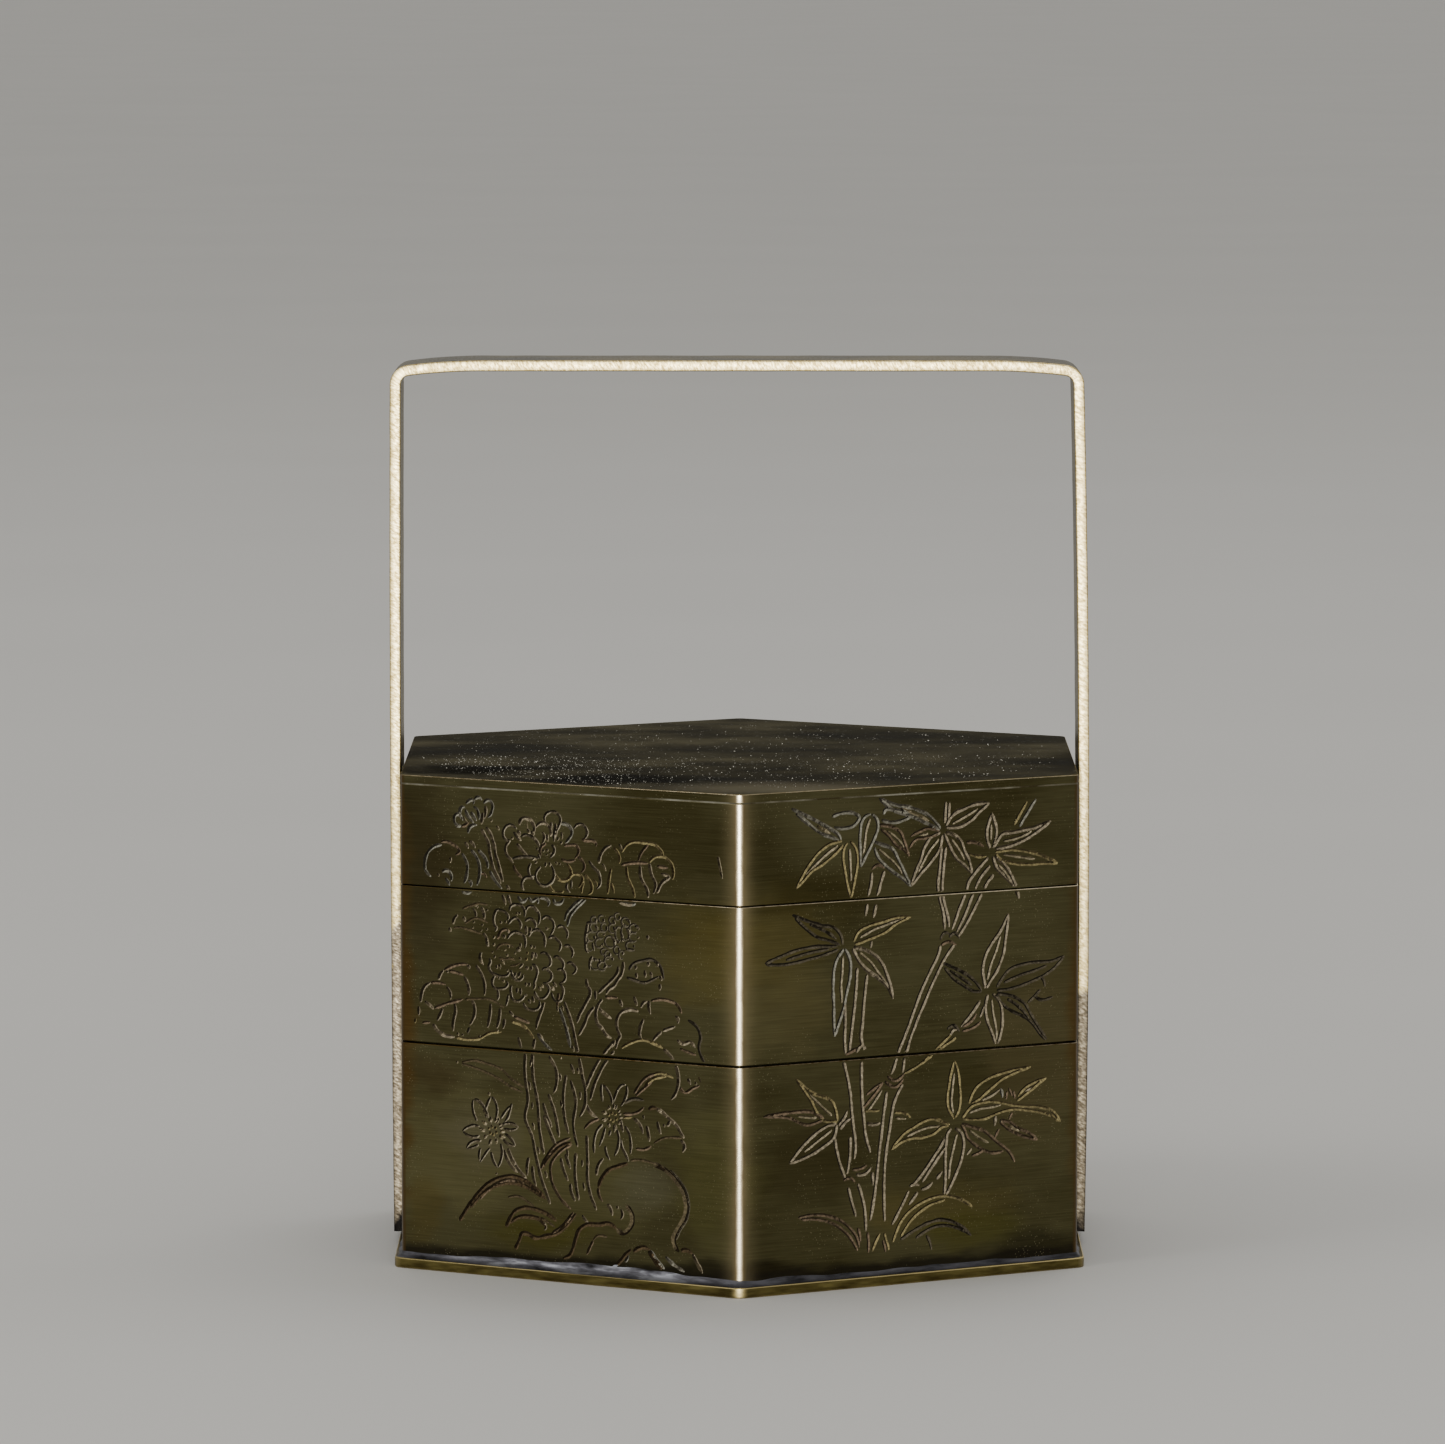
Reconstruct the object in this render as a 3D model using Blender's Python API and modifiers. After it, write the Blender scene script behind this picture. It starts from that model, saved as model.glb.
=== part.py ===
# Tiered food box: a small brass carrier of two stacked trays and a lid, six-sided in plan, with a
# fixed handle bent from flat strip. Its two front faces are engraved with flowers and bamboo.
# Metres, +Z up. A corner of the hexagon faces -Y and the handle stands in the XZ plane.
# The origin is under the middle of the base plate.

import math

import bmesh
import bpy
from mathutils import Matrix, Vector

MM = 0.001

# Six-sided body
WALL_SIDE = 38.0 * MM  # outer length of each wall
WALL_SHEET = 1.0 * MM
BEND_RADIUS = 1.0 * MM  # outside of the bends between the walls
INNER_BEND_RADIUS = 0.3 * MM

# Base plate
BASE_SHEET = 1.0 * MM
BASE_OVERHANG = 0.7 * MM  # how far it stands out past the walls
BASE_CORNER_RADIUS = 1.5 * MM
BASE_EDGE_ROUNDING = 0.15 * MM

# Tiers, from the bottom up
BOTTOM_TRAY_HEIGHT = 20.8 * MM
MIDDLE_TRAY_HEIGHT = 15.1 * MM
FLOOR_SHEET = 0.9 * MM  # the middle tray's floor
LID_WALL_HEIGHT = 9.45 * MM
LID_TOP_SHEET = 0.9 * MM
LID_EDGE_ROUNDING = 0.12 * MM

# Lip inside the rim of each tray, which keeps the next tier in place
LIP_HEIGHT = 1.6 * MM
LIP_DEPTH = 2.5 * MM  # how far it reaches down inside the wall
LIP_SHEET = 0.8 * MM

# Clearances
SOLDER_GAP = 0.25 * MM  # between two pieces that are soldered together
TIER_GAP = 0.25 * MM  # between a rim and the tier that stands on it
LIP_CLEARANCE = 0.25 * MM  # between a lip and the tier around and above it

# Handle strip, bent by hand, so its two uprights differ a little
HANDLE_SHEET = 1.06 * MM
HANDLE_WIDTH = 9.0 * MM
HANDLE_RISE = 38.3 * MM  # from the lid's top to the underside of the crossbar
HANDLE_BEND_RADIUS = 1.45 * MM  # at the middle of the sheet
HANDLE_SHOULDER_RADIUS = 60.0 * MM  # the crossbar's gentle curve beside each corner
HANDLE_SHOULDER_ANGLE = math.radians(7.0)  # slope of the crossbar where it meets a corner
HANDLE_BOW_LEFT = 0.15 * MM  # how far an upright bulges outwards at half height
HANDLE_BOW_RIGHT = 0.45 * MM
HANDLE_LEAN_LEFT = -0.15 * MM  # how far the top of an upright leans inwards
HANDLE_LEAN_RIGHT = 0.35 * MM
HANDLE_EDGE_ROUNDING = 0.12 * MM

# Engraving. Its places and sizes are millimetres on a face of the pattern's size, counted from the
# face's lower left corner, and the pattern stretches with the face.
PATTERN_WIDTH = 38.0
PATTERN_HEIGHT = 48.25
GROOVE_WIDTH = 0.30 * MM
GROOVE_DEPTH = 0.15 * MM
GROOVE_RAISED = 0.03 * MM  # how far the middle of a cutting tube stands out from the wall
STROKE_END = 0.4  # share of its width that a stroke keeps at its ends
NARROW_LEAF = 1.4  # a leaf narrower than this has plain edges and no midrib
LEFT_FACE = math.radians(-120)  # the way each front face looks
RIGHT_FACE = math.radians(-60)

# Sheet metals: name, linear red, green and blue, roughness
BRASS = ("engraved_brass", (0.10, 0.078, 0.020), 0.38)
WORN_BRASS = ("worn_brass", (0.42, 0.33, 0.12), 0.42)
GREY_BRASS = ("greyed_brass", (0.16, 0.15, 0.12), 0.5)

# Mesh resolution and working lengths
SIDES = 6
BEND_SEGMENTS = 4
UPRIGHT_STEPS = 8
CORNER_STEPS = 6
SHOULDER_STEPS = 4
SHARP_ANGLE = math.radians(35)
CUT_PAST = 2.0 * MM  # how far a cutter runs out past the face that it opens
WELD_DISTANCE = 0.001 * MM

# Plan, from the axis outwards
HALF_CORNER = math.pi / SIDES
APOTHEM = WALL_SIDE / 2 / math.tan(HALF_CORNER)  # to the outside of a wall
INNER_APOTHEM = APOTHEM - WALL_SHEET
LIP_OUTER_APOTHEM = INNER_APOTHEM - LIP_CLEARANCE
LIP_INNER_APOTHEM = LIP_OUTER_APOTHEM - LIP_SHEET

# Heights, stacked from the base plate
BOTTOM_TRAY_FOOT = BASE_SHEET + SOLDER_GAP
BOTTOM_TRAY_RIM = BOTTOM_TRAY_FOOT + BOTTOM_TRAY_HEIGHT
MIDDLE_TRAY_FOOT = BOTTOM_TRAY_RIM + TIER_GAP
MIDDLE_TRAY_RIM = MIDDLE_TRAY_FOOT + MIDDLE_TRAY_HEIGHT
MIDDLE_FLOOR_UNDERSIDE = BOTTOM_TRAY_RIM + LIP_HEIGHT + LIP_CLEARANCE
MIDDLE_FLOOR_TOP = MIDDLE_FLOOR_UNDERSIDE + FLOOR_SHEET
LID_FOOT = MIDDLE_TRAY_RIM + TIER_GAP
LID_WALL_TOP = LID_FOOT + LID_WALL_HEIGHT
LID_TOP_UNDERSIDE = LID_WALL_TOP + SOLDER_GAP
LID_TOP = LID_TOP_UNDERSIDE + LID_TOP_SHEET


def clear_scene():
    for found in list(bpy.data.objects):
        bpy.data.objects.remove(found)


def collection(name, in_render=True):
    made = bpy.data.collections.new(name)
    made.hide_render = not in_render
    bpy.context.scene.collection.children.link(made)
    return made


def metal(name, colour, roughness):
    made = bpy.data.materials.new(name)
    made.use_nodes = True
    shader = made.node_tree.nodes["Principled BSDF"]
    shader.inputs["Base Color"].default_value = (*colour, 1.0)
    shader.inputs["Metallic"].default_value = 1.0
    shader.inputs["Roughness"].default_value = roughness
    made.diffuse_color = (*colour, 1.0)
    return made


def mesh_object(name, shape, group, material=None):
    mesh = bpy.data.meshes.new(name)
    bmesh.ops.recalc_face_normals(shape, faces=shape.faces)
    shape.to_mesh(mesh)
    shape.free()
    made = bpy.data.objects.new(name, mesh)
    if material:
        mesh.materials.append(material)
    group.objects.link(made)
    return made


def hexagon(name, group, apothem, low, high, corner_radius, material=None):
    """A six-sided block with a corner towards -Y, its upright edges rounded."""
    shape = bmesh.new()
    bmesh.ops.create_cone(
        shape,
        cap_ends=True,
        segments=SIDES,
        radius1=apothem / math.cos(HALF_CORNER),
        radius2=apothem / math.cos(HALF_CORNER),
        depth=high - low,
        matrix=Matrix.Translation((0, 0, (low + high) / 2)),
    )
    half = (high - low) / 2
    upright = [edge for edge in shape.edges if abs(edge.verts[0].co.z - edge.verts[1].co.z) > half]
    bmesh.ops.bevel(
        shape,
        geom=upright,
        offset=corner_radius * math.tan(HALF_CORNER),
        segments=BEND_SEGMENTS,
        profile=0.5,
        affect="EDGES",
    )
    return mesh_object(name, shape, group, material)


def combine(piece, other, operation, crossing_itself=False):
    change = piece.modifiers.new(other.name, "BOOLEAN")
    change.operation = operation
    change.solver = "EXACT"
    change.use_self = crossing_itself
    change.object = other
    other.hide_render = True
    other.display_type = "WIRE"


def round_edges(piece, width):
    bevel = piece.modifiers.new("rounded edges", "BEVEL")
    bevel.width = width
    bevel.segments = 1
    bevel.limit_method = "ANGLE"
    bevel.angle_limit = math.radians(50)


def finished_mesh(thing):
    """The mesh of an object with its modifiers and curves worked out."""
    bpy.context.view_layer.update()
    return bpy.data.meshes.new_from_object(thing.evaluated_get(bpy.context.evaluated_depsgraph_get()))


def finish(piece):
    """Applies the modifiers, then shades the bends smooth and keeps the edges and grooves sharp."""
    piece.data = finished_mesh(piece)
    piece.modifiers.clear()
    piece.data.shade_smooth()
    piece.data.set_sharp_from_angle(angle=SHARP_ANGLE)


def base_plate(parts, material):
    plate = hexagon("base_plate", parts, APOTHEM + BASE_OVERHANG, 0, BASE_SHEET, BASE_CORNER_RADIUS, material)
    round_edges(plate, BASE_EDGE_ROUNDING)
    return plate


def open_tray(tray, cutters, rim, hollow_floor, mouth_floor):
    """Adds the lip inside a tray's rim, then hollows the tray below the lip and through it."""
    lip = hexagon(
        tray.name + "_lip", cutters, LIP_OUTER_APOTHEM, rim - LIP_DEPTH, rim + LIP_HEIGHT, INNER_BEND_RADIUS
    )
    hollow = hexagon(
        tray.name + "_hollow", cutters, INNER_APOTHEM, hollow_floor, rim - LIP_DEPTH, INNER_BEND_RADIUS
    )
    mouth = hexagon(
        tray.name + "_mouth",
        cutters,
        LIP_INNER_APOTHEM,
        mouth_floor,
        rim + LIP_HEIGHT + CUT_PAST,
        INNER_BEND_RADIUS,
    )
    combine(tray, lip, "UNION")
    combine(tray, hollow, "DIFFERENCE")
    combine(tray, mouth, "DIFFERENCE")


def bottom_tray(parts, cutters, material):
    """Walls and lip only: the base plate is its floor."""
    tray = hexagon("bottom_tray", parts, APOTHEM, BOTTOM_TRAY_FOOT, BOTTOM_TRAY_RIM, BEND_RADIUS, material)
    open_tray(tray, cutters, BOTTOM_TRAY_RIM, BOTTOM_TRAY_FOOT - CUT_PAST, BOTTOM_TRAY_FOOT)
    return tray


def middle_tray(parts, cutters, material):
    """The floor sits up inside the walls, clear of the lip of the tray below."""
    tray = hexagon("middle_tray", parts, APOTHEM, MIDDLE_TRAY_FOOT, MIDDLE_TRAY_RIM, BEND_RADIUS, material)
    socket = hexagon(
        "middle_socket",
        cutters,
        INNER_APOTHEM,
        MIDDLE_TRAY_FOOT - CUT_PAST,
        MIDDLE_FLOOR_UNDERSIDE,
        INNER_BEND_RADIUS,
    )
    half_way_up = (MIDDLE_FLOOR_TOP + MIDDLE_TRAY_RIM - LIP_DEPTH) / 2
    open_tray(tray, cutters, MIDDLE_TRAY_RIM, MIDDLE_FLOOR_TOP, half_way_up)
    combine(tray, socket, "DIFFERENCE")
    return tray


def lid_walls(parts, cutters, material):
    walls = hexagon("lid_walls", parts, APOTHEM, LID_FOOT, LID_WALL_TOP, BEND_RADIUS, material)
    hollow = hexagon(
        "lid_hollow", cutters, INNER_APOTHEM, LID_FOOT - CUT_PAST, LID_WALL_TOP + CUT_PAST, INNER_BEND_RADIUS
    )
    combine(walls, hollow, "DIFFERENCE")
    return walls


def lid_top(parts, material):
    top = hexagon("lid_top", parts, APOTHEM, LID_TOP_UNDERSIDE, LID_TOP, BEND_RADIUS, material)
    round_edges(top, LID_EDGE_ROUNDING)
    return top


def arc(centre, radius, start, end, steps):
    """Points of an arc in the XZ plane, from one angle to another."""
    angles = [start + (end - start) * step / steps for step in range(steps + 1)]
    return [(centre[0] + radius * math.cos(angle), centre[1] + radius * math.sin(angle)) for angle in angles]


def half_handle(side, bow, lean):
    """Middle line of half of the strip, from its foot to the middle of the crossbar. side is -1 or 1."""
    foot = APOTHEM + SOLDER_GAP + HANDLE_SHEET / 2
    low = BASE_SHEET + SOLDER_GAP
    top = LID_TOP + HANDLE_RISE + HANDLE_SHEET / 2
    steepest = math.pi / 2 - HANDLE_SHOULDER_ANGLE
    shoulder_run = HANDLE_SHOULDER_RADIUS * math.sin(HANDLE_SHOULDER_ANGLE)
    shoulder_drop = HANDLE_SHOULDER_RADIUS * (1 - math.cos(HANDLE_SHOULDER_ANGLE))
    corner = (foot - lean - HANDLE_BEND_RADIUS, top - shoulder_drop - HANDLE_BEND_RADIUS * math.sin(steepest))
    points = []
    for step in range(UPRIGHT_STEPS):
        share = step / UPRIGHT_STEPS
        outwards = bow * 4 * share * (1 - share) - lean * share
        points.append((foot + outwards, low + (corner[1] - low) * share))
    points += arc(corner, HANDLE_BEND_RADIUS, 0, steepest, CORNER_STEPS)
    shoulder = (points[-1][0] - shoulder_run, top - HANDLE_SHOULDER_RADIUS)
    points += arc(shoulder, HANDLE_SHOULDER_RADIUS, steepest, math.pi / 2, SHOULDER_STEPS)[1:]
    return [(side * x, z) for x, z in points]


def handle(parts, material):
    """The strip's middle line, drawn out to its width and given the sheet's thickness."""
    left = half_handle(-1, HANDLE_BOW_LEFT, HANDLE_LEAN_LEFT)
    right = half_handle(1, HANDLE_BOW_RIGHT, HANDLE_LEAN_RIGHT)
    shape = bmesh.new()
    line = [shape.verts.new((x, -HANDLE_WIDTH / 2, z)) for x, z in left + right[::-1]]
    edges = [shape.edges.new(pair) for pair in zip(line, line[1:])]
    drawn = bmesh.ops.extrude_edge_only(shape, edges=edges)["geom"]
    moved = [part for part in drawn if isinstance(part, bmesh.types.BMVert)]
    bmesh.ops.translate(shape, verts=moved, vec=(0, HANDLE_WIDTH, 0))
    strip = mesh_object("handle", shape, parts, material)
    sheet = strip.modifiers.new("sheet", "SOLIDIFY")
    sheet.thickness = HANDLE_SHEET
    sheet.offset = 0
    sheet.use_even_offset = True
    round_edges(strip, HANDLE_EDGE_ROUNDING)
    return strip


def beside(start, end, share, aside=0.0):
    """The point that far along a line, and that far to its left."""
    run = (end[0] - start[0], end[1] - start[1])
    length = math.hypot(*run)
    away = (-run[1] / length * aside, run[0] / length * aside)
    return (start[0] + run[0] * share + away[0], start[1] + run[1] * share + away[1])


def double_line(path, width):
    """Both edges of a stem that follows a path."""
    edges = ([], [])
    for index, point in enumerate(path):
        before = path[max(index - 1, 0)]
        after = path[min(index + 1, len(path) - 1)]
        run = (after[0] - before[0], after[1] - before[1])
        length = math.hypot(*run)
        for edge, aside in zip(edges, (width / 2, -width / 2)):
            edge.append((point[0] - run[1] / length * aside, point[1] + run[0] / length * aside))
    return list(edges)


def leaf(base, tip, width, bend=0.0, rib=True, edge=(0.25, 0.6)):
    """A narrow pointed leaf, widest near its base, its middle pushed to the left by the bend."""

    def line(side, shares):
        points = []
        for share in shares:
            curve = bend * 4 * share * (1 - share)
            points.append(beside(base, tip, share, curve + side * width / 2 * math.sin(math.pi * share**0.8)))
        return points

    strokes = [line(1, (0.03, *edge, 1)), line(-1, (0.03, *edge, 0.95))]
    return strokes + ([line(0, (0.12, 0.7))] if rib else [])


def lobed_leaf(base, tip, width, bend, lobes):
    """A broad leaf with rounded lobes, a midrib and a vein to each notch."""

    def place(share, aside):
        return beside(base, tip, share, bend * 4 * share * (1 - share) + aside)

    strokes = [[place(share, 0) for share in (0.02, 0.45, 0.85)]]
    for side in (-1, 1):
        edge = []
        for step in range(3 * lobes + 1):
            share = step / (3 * lobes)
            reach = width / 2 * math.sin(math.pi * share**0.8)
            swell = 0.78 + 0.4 * abs(math.sin(math.pi * lobes * share))
            edge.append(place(share, side * (reach * swell + GROOVE_WIDTH / 3 / MM)))
        strokes.append(edge)
        for lobe in range(1, lobes):
            share = lobe / lobes
            reach = side * width / 2 * math.sin(math.pi * share**0.8)
            strokes.append([place(share - 0.1, 0.15 * reach), place(share, 0.7 * reach)])
    return strokes


def chrysanthemum(centre, reach, rings):
    """Rings of so many round petals, each petal an arc that opens towards the heart."""
    strokes = []
    for ring, petals in enumerate(rings):
        share = 0.93 * (ring + 1) / len(rings)
        size = 0.9 * math.pi * share / petals
        for petal in range(petals):
            facing = 2 * math.pi * (petal + 0.5 * (ring % 2)) / petals
            outline = []
            for turn in (-1.7, -0.6, 0.6, 1.7):
                across = share * math.cos(facing) + size * math.cos(facing + turn)
                up = share * math.sin(facing) + size * math.sin(facing + turn)
                outline.append((centre[0] + reach[0] * across, centre[1] + reach[1] * up))
            strokes.append(outline)
    return strokes


def daisy(centre, reach, petals=8):
    """Pointed petals around a bare heart."""
    strokes = []
    for petal in range(petals):
        facing = 2 * math.pi * (petal + 0.5) / petals
        ray = (math.cos(facing), math.sin(facing))
        base = (centre[0] + 0.36 * reach * ray[0], centre[1] + 0.36 * reach * ray[1])
        tip = (centre[0] + reach * ray[0], centre[1] + reach * ray[1])
        strokes += leaf(base, tip, 0.36 * reach, rib=False, edge=(0.4,))
    return strokes


def bud(centre, reach, petals=5):
    """Narrow petals that open upwards like a fan."""
    strokes = []
    for petal in range(petals):
        turn = (petal - petals // 2) / (petals // 2)
        base = (centre[0] + 0.5 * turn, centre[1])
        tip = (centre[0] + reach * math.sin(turn - 0.3), centre[1] + reach * math.cos(turn - 0.3))
        strokes += leaf(base, tip, 0.9, rib=False, edge=(0.6,))
    return strokes


def bamboo_strokes():
    """Bamboo with its culms and branches, tufts of leaves and grass at its foot."""
    strokes = []
    for width, *path in (
        (1.3, (15.5, 6.2), (15.8, 12.0), (17.0, 18.9)),
        (1.1, (17.4, 20.5), (19.1, 24.2), (20.9, 28.4), (23.1, 32.5)),
        (0.6, (23.1, 34.2), (22.5, 37.5), (22.7, 42.0)),
        (1.0, (24.0, 34.0), (25.6, 37.0), (27.6, 40.0)),
        (1.2, (13.6, 5.8), (12.7, 9.8)),
        (1.6, (13.7, 12.6), (13.1, 17.0), (12.6, 21.7)),
        (1.2, (12.8, 23.2), (13.6, 30.4)),
        (1.2, (14.7, 36.0), (15.4, 40.0)),
        (0.5, (18.6, 20.5), (21.0, 22.1), (23.7, 23.8)),
        (0.4, (24.6, 24.4), (26.7, 27.3)),
        (1.0, (17.6, 5.7), (19.3, 8.8)),
        (0.6, (19.8, 9.6), (23.0, 13.5)),
    ):
        strokes += double_line(path, width)
    for base, tip, width in (
        ((11.3, 43.5), (5.5, 46.8), 1.2),
        ((11.4, 42.9), (6.2, 38.8), 1.9),
        ((12.5, 43.0), (12.4, 37.9), 1.5),
        ((14.5, 45.9), (13.5, 40.6), 1.9),
        ((15.8, 44.6), (19.0, 41.5), 1.4),
        ((15.1, 43.1), (19.0, 38.5), 1.3),
        ((22.2, 43.9), (15.8, 46.6), 1.2),
        ((23.1, 44.1), (27.9, 46.0), 1.2),
        ((22.0, 43.3), (19.3, 38.6), 1.4),
        ((23.4, 43.3), (26.0, 39.5), 1.3),
        ((28.1, 41.7), (28.2, 45.0), 0.9),
        ((28.7, 41.6), (35.0, 43.8), 1.0),
        ((29.0, 40.9), (35.8, 39.7), 1.1),
        ((28.6, 40.3), (31.2, 36.6), 1.1),
        ((11.2, 33.4), (6.0, 36.4), 1.2),
        ((10.8, 32.9), (3.0, 31.8), 1.2),
        ((11.4, 32.5), (10.6, 24.6), 1.8),
        ((12.8, 33.5), (18.9, 35.4), 1.5),
        ((12.8, 32.6), (17.0, 27.6), 1.6),
        ((27.7, 28.5), (30.2, 35.0), 1.8),
        ((29.2, 28.0), (36.3, 30.6), 1.8),
        ((29.2, 27.1), (34.6, 22.8), 1.8),
        ((28.3, 27.2), (28.9, 22.8), 1.6),
        ((26.8, 28.1), (22.9, 30.4), 1.3),
        ((10.6, 16.4), (6.3, 20.6), 1.6),
        ((10.6, 15.6), (5.6, 12.5), 1.5),
        ((23.9, 16.0), (24.1, 21.2), 1.7),
        ((25.7, 17.0), (32.7, 20.0), 1.5),
        ((25.3, 15.9), (36.0, 15.0), 1.4),
        ((23.0, 15.0), (17.4, 13.2), 1.4),
        ((24.1, 14.3), (23.0, 8.4), 1.9),
        ((25.3, 14.7), (31.0, 10.9), 1.3),
    ):
        if width < NARROW_LEAF:
            strokes += leaf(base, tip, width, rib=False, edge=(0.35,))
        else:
            strokes += leaf(base, tip, width)
    for base, tip, width, bend in (
        ((13.0, 4.0), (6.6, 7.1), 0.8, -1.0),
        ((17.3, 4.2), (26.0, 6.9), 0.9, 2.2),
        ((19.0, 4.0), (26.0, 3.9), 0.7, 1.4),
    ):
        strokes += leaf(base, tip, width, bend, rib=False)
    return strokes


def garden_strokes():
    """Chrysanthemums and daisies that grow behind a rock."""
    strokes = bud((9.2, 43.8), 2.7)
    strokes += chrysanthemum((17.0, 41.3), (5.6, 4.2), rings=(5, 8, 10))
    strokes += chrysanthemum((14.6, 31.2), (5.4, 5.0), rings=(5, 8, 10))
    strokes += chrysanthemum((24.0, 33.3), (2.8, 2.4), rings=(5, 8))
    strokes += daisy((10.6, 14.1), 3.5)
    strokes += daisy((24.1, 16.2), 3.6)
    for base, tip, width, bend, lobes in (
        ((9.9, 39.6), (3.0, 39.8), 3.6, -0.5, 3),
        ((23.6, 40.2), (30.9, 40.4), 4.4, -0.4, 3),
        ((12.2, 26.0), (2.3, 25.6), 5.4, -0.8, 3),
        ((23.4, 24.6), (33.8, 24.0), 5.6, 1.0, 3),
        ((26.2, 15.6), (31.9, 14.4), 2.2, 0.6, 2),
        ((25.9, 30.2), (29.9, 30.2), 1.9, 0.3, 2),
        ((10.0, 33.0), (5.8, 33.6), 2.4, -0.4, 2),
    ):
        strokes += lobed_leaf(base, tip, width, bend, lobes)
    for width, *path in (
        (0.7, (9.8, 43.2), (10.9, 40.6), (12.1, 36.6)),
        (0.6, (20.6, 37.2), (19.0, 34.9)),
        (0.8, (25.2, 31.0), (23.9, 29.2), (21.4, 26.6), (20.2, 24.4)),
        (0.8, (18.5, 26.8), (19.7, 22.8), (20.7, 18.4), (19.9, 15.4)),
        (1.0, (12.6, 25.4), (15.7, 23.6), (17.3, 20.6), (17.3, 17.6), (17.8, 14.2)),
        (0.9, (24.2, 23.5), (22.2, 20.4), (21.2, 17.8)),
        (1.0, (14.6, 22.2), (14.9, 17.0), (15.8, 12.0), (16.8, 8.4)),
        (1.2, (19.2, 20.0), (19.2, 15.2), (20.0, 11.4), (20.9, 7.6)),
        (0.5, (12.0, 12.2), (13.9, 9.8)),
    ):
        strokes += double_line(path, width)
    for base, tip, width, bend in (
        ((16.2, 8.0), (6.8, 4.9), 0.9, -2.6),
        ((17.6, 6.0), (12.0, 4.8), 1.0, -1.3),
        ((14.0, 18.2), (6.5, 20.4), 0.7, -0.8),
        ((26.6, 18.8), (30.6, 20.7), 0.5, 0.7),
    ):
        strokes += leaf(base, tip, width, bend, rib=False)
    rock = [
        [(19.3, 13.6), (17.6, 12.2), (17.0, 10.2), (17.9, 8.4), (19.3, 7.1)],
        [(22.8, 8.1), (22.3, 9.4), (22.9, 10.8), (25.0, 12.1), (28.0, 12.4)],
        [(28.0, 12.4), (30.3, 11.3), (31.9, 9.4), (32.0, 7.4)],
        [(32.0, 7.4), (30.9, 5.6), (31.2, 4.2), (32.9, 3.7), (34.0, 2.0)],
        [(22.8, 8.1), (23.9, 7.1), (24.2, 5.7), (25.3, 5.2), (26.3, 6.3), (26.0, 7.7), (24.8, 8.0)],
    ]
    ground = [
        [(12.8, 2.4), (13.9, 4.2), (16.0, 4.2), (18.0, 5.1), (20.1, 6.9), (21.8, 6.0), (24.2, 6.0)],
        [(18.2, 2.2), (19.6, 3.6), (20.8, 5.7)],
        [(21.1, 3.0), (22.0, 4.4), (23.6, 4.8)],
        [(23.5, 2.0), (25.4, 3.3), (27.8, 4.0), (30.0, 2.2)],
    ]
    return strokes + rock + ground


def face_frame(facing):
    """Turns the pattern's plane into an outer wall face: right, up, and out of the wall."""
    outwards = Vector((math.cos(facing), math.sin(facing), 0))
    across = Vector((-outwards.y, outwards.x, 0))
    turned = Matrix((across, Vector((0, 0, 1)), outwards)).transposed().to_4x4()
    return Matrix.Translation(outwards * (APOTHEM + GROOVE_RAISED)) @ turned


def groove_cutter(name, cutters, strokes, facing):
    """A four-sided tube along each stroke, set on the wall's outer face: its lower half cuts a V."""
    curve = bpy.data.curves.new(name, "CURVE")
    curve.dimensions = "3D"
    curve.twist_mode = "Z_UP"
    curve.bevel_depth = GROOVE_WIDTH / 2
    curve.bevel_resolution = 0
    curve.use_fill_caps = True
    for stroke in strokes:
        spline = curve.splines.new("POLY")
        spline.points.add(len(stroke) - 1)
        for point, (across, up) in zip(spline.points, stroke):
            point.co = ((across / PATTERN_WIDTH - 0.5) * WALL_SIDE, up / PATTERN_HEIGHT * LID_TOP, 0, 1)
        spline.points[0].radius = STROKE_END
        spline.points[-1].radius = STROKE_END
    tubes = bpy.data.objects.new(name + "_strokes", curve)
    cutters.objects.link(tubes)
    depth = Matrix.Diagonal((1, 1, (GROOVE_DEPTH + GROOVE_RAISED) / (GROOVE_WIDTH / 2), 1))
    tubes.matrix_world = face_frame(facing) @ depth
    mesh = finished_mesh(tubes)
    shape = bmesh.new()
    shape.from_mesh(mesh)
    bmesh.ops.remove_doubles(shape, verts=shape.verts, dist=WELD_DISTANCE)
    bpy.data.meshes.remove(mesh)
    cutter = mesh_object(name, shape, cutters)
    cutter.matrix_world = tubes.matrix_world
    bpy.data.objects.remove(tubes)
    return cutter


def engrave(cutters, tiers):
    garden = groove_cutter("garden", cutters, garden_strokes(), LEFT_FACE)
    bamboo = groove_cutter("bamboo", cutters, bamboo_strokes(), RIGHT_FACE)
    for tier in tiers:
        combine(tier, garden, "DIFFERENCE", crossing_itself=True)
        combine(tier, bamboo, "DIFFERENCE", crossing_itself=True)


def main():
    clear_scene()
    parts = collection("food_box")
    cutters = collection("cutters", in_render=False)
    brass = metal(*BRASS)
    worn_brass = metal(*WORN_BRASS)
    grey_brass = metal(*GREY_BRASS)
    tiers = [
        bottom_tray(parts, cutters, brass),
        middle_tray(parts, cutters, brass),
        lid_walls(parts, cutters, brass),
    ]
    engrave(cutters, tiers)
    trim = [
        base_plate(parts, worn_brass),
        lid_top(parts, grey_brass),
        handle(parts, worn_brass),
    ]
    for piece in tiers + trim:
        finish(piece)


main()
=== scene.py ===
# Engraved brass food box: two stacked trays and a lid, six-sided, under a bent strip handle.
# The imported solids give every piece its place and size. This script gives the finished metal.
import math
import random

import bmesh
import bpy
import numpy as np
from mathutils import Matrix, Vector, noise
from mathutils.geometry import delaunay_2d_cdt


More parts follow.
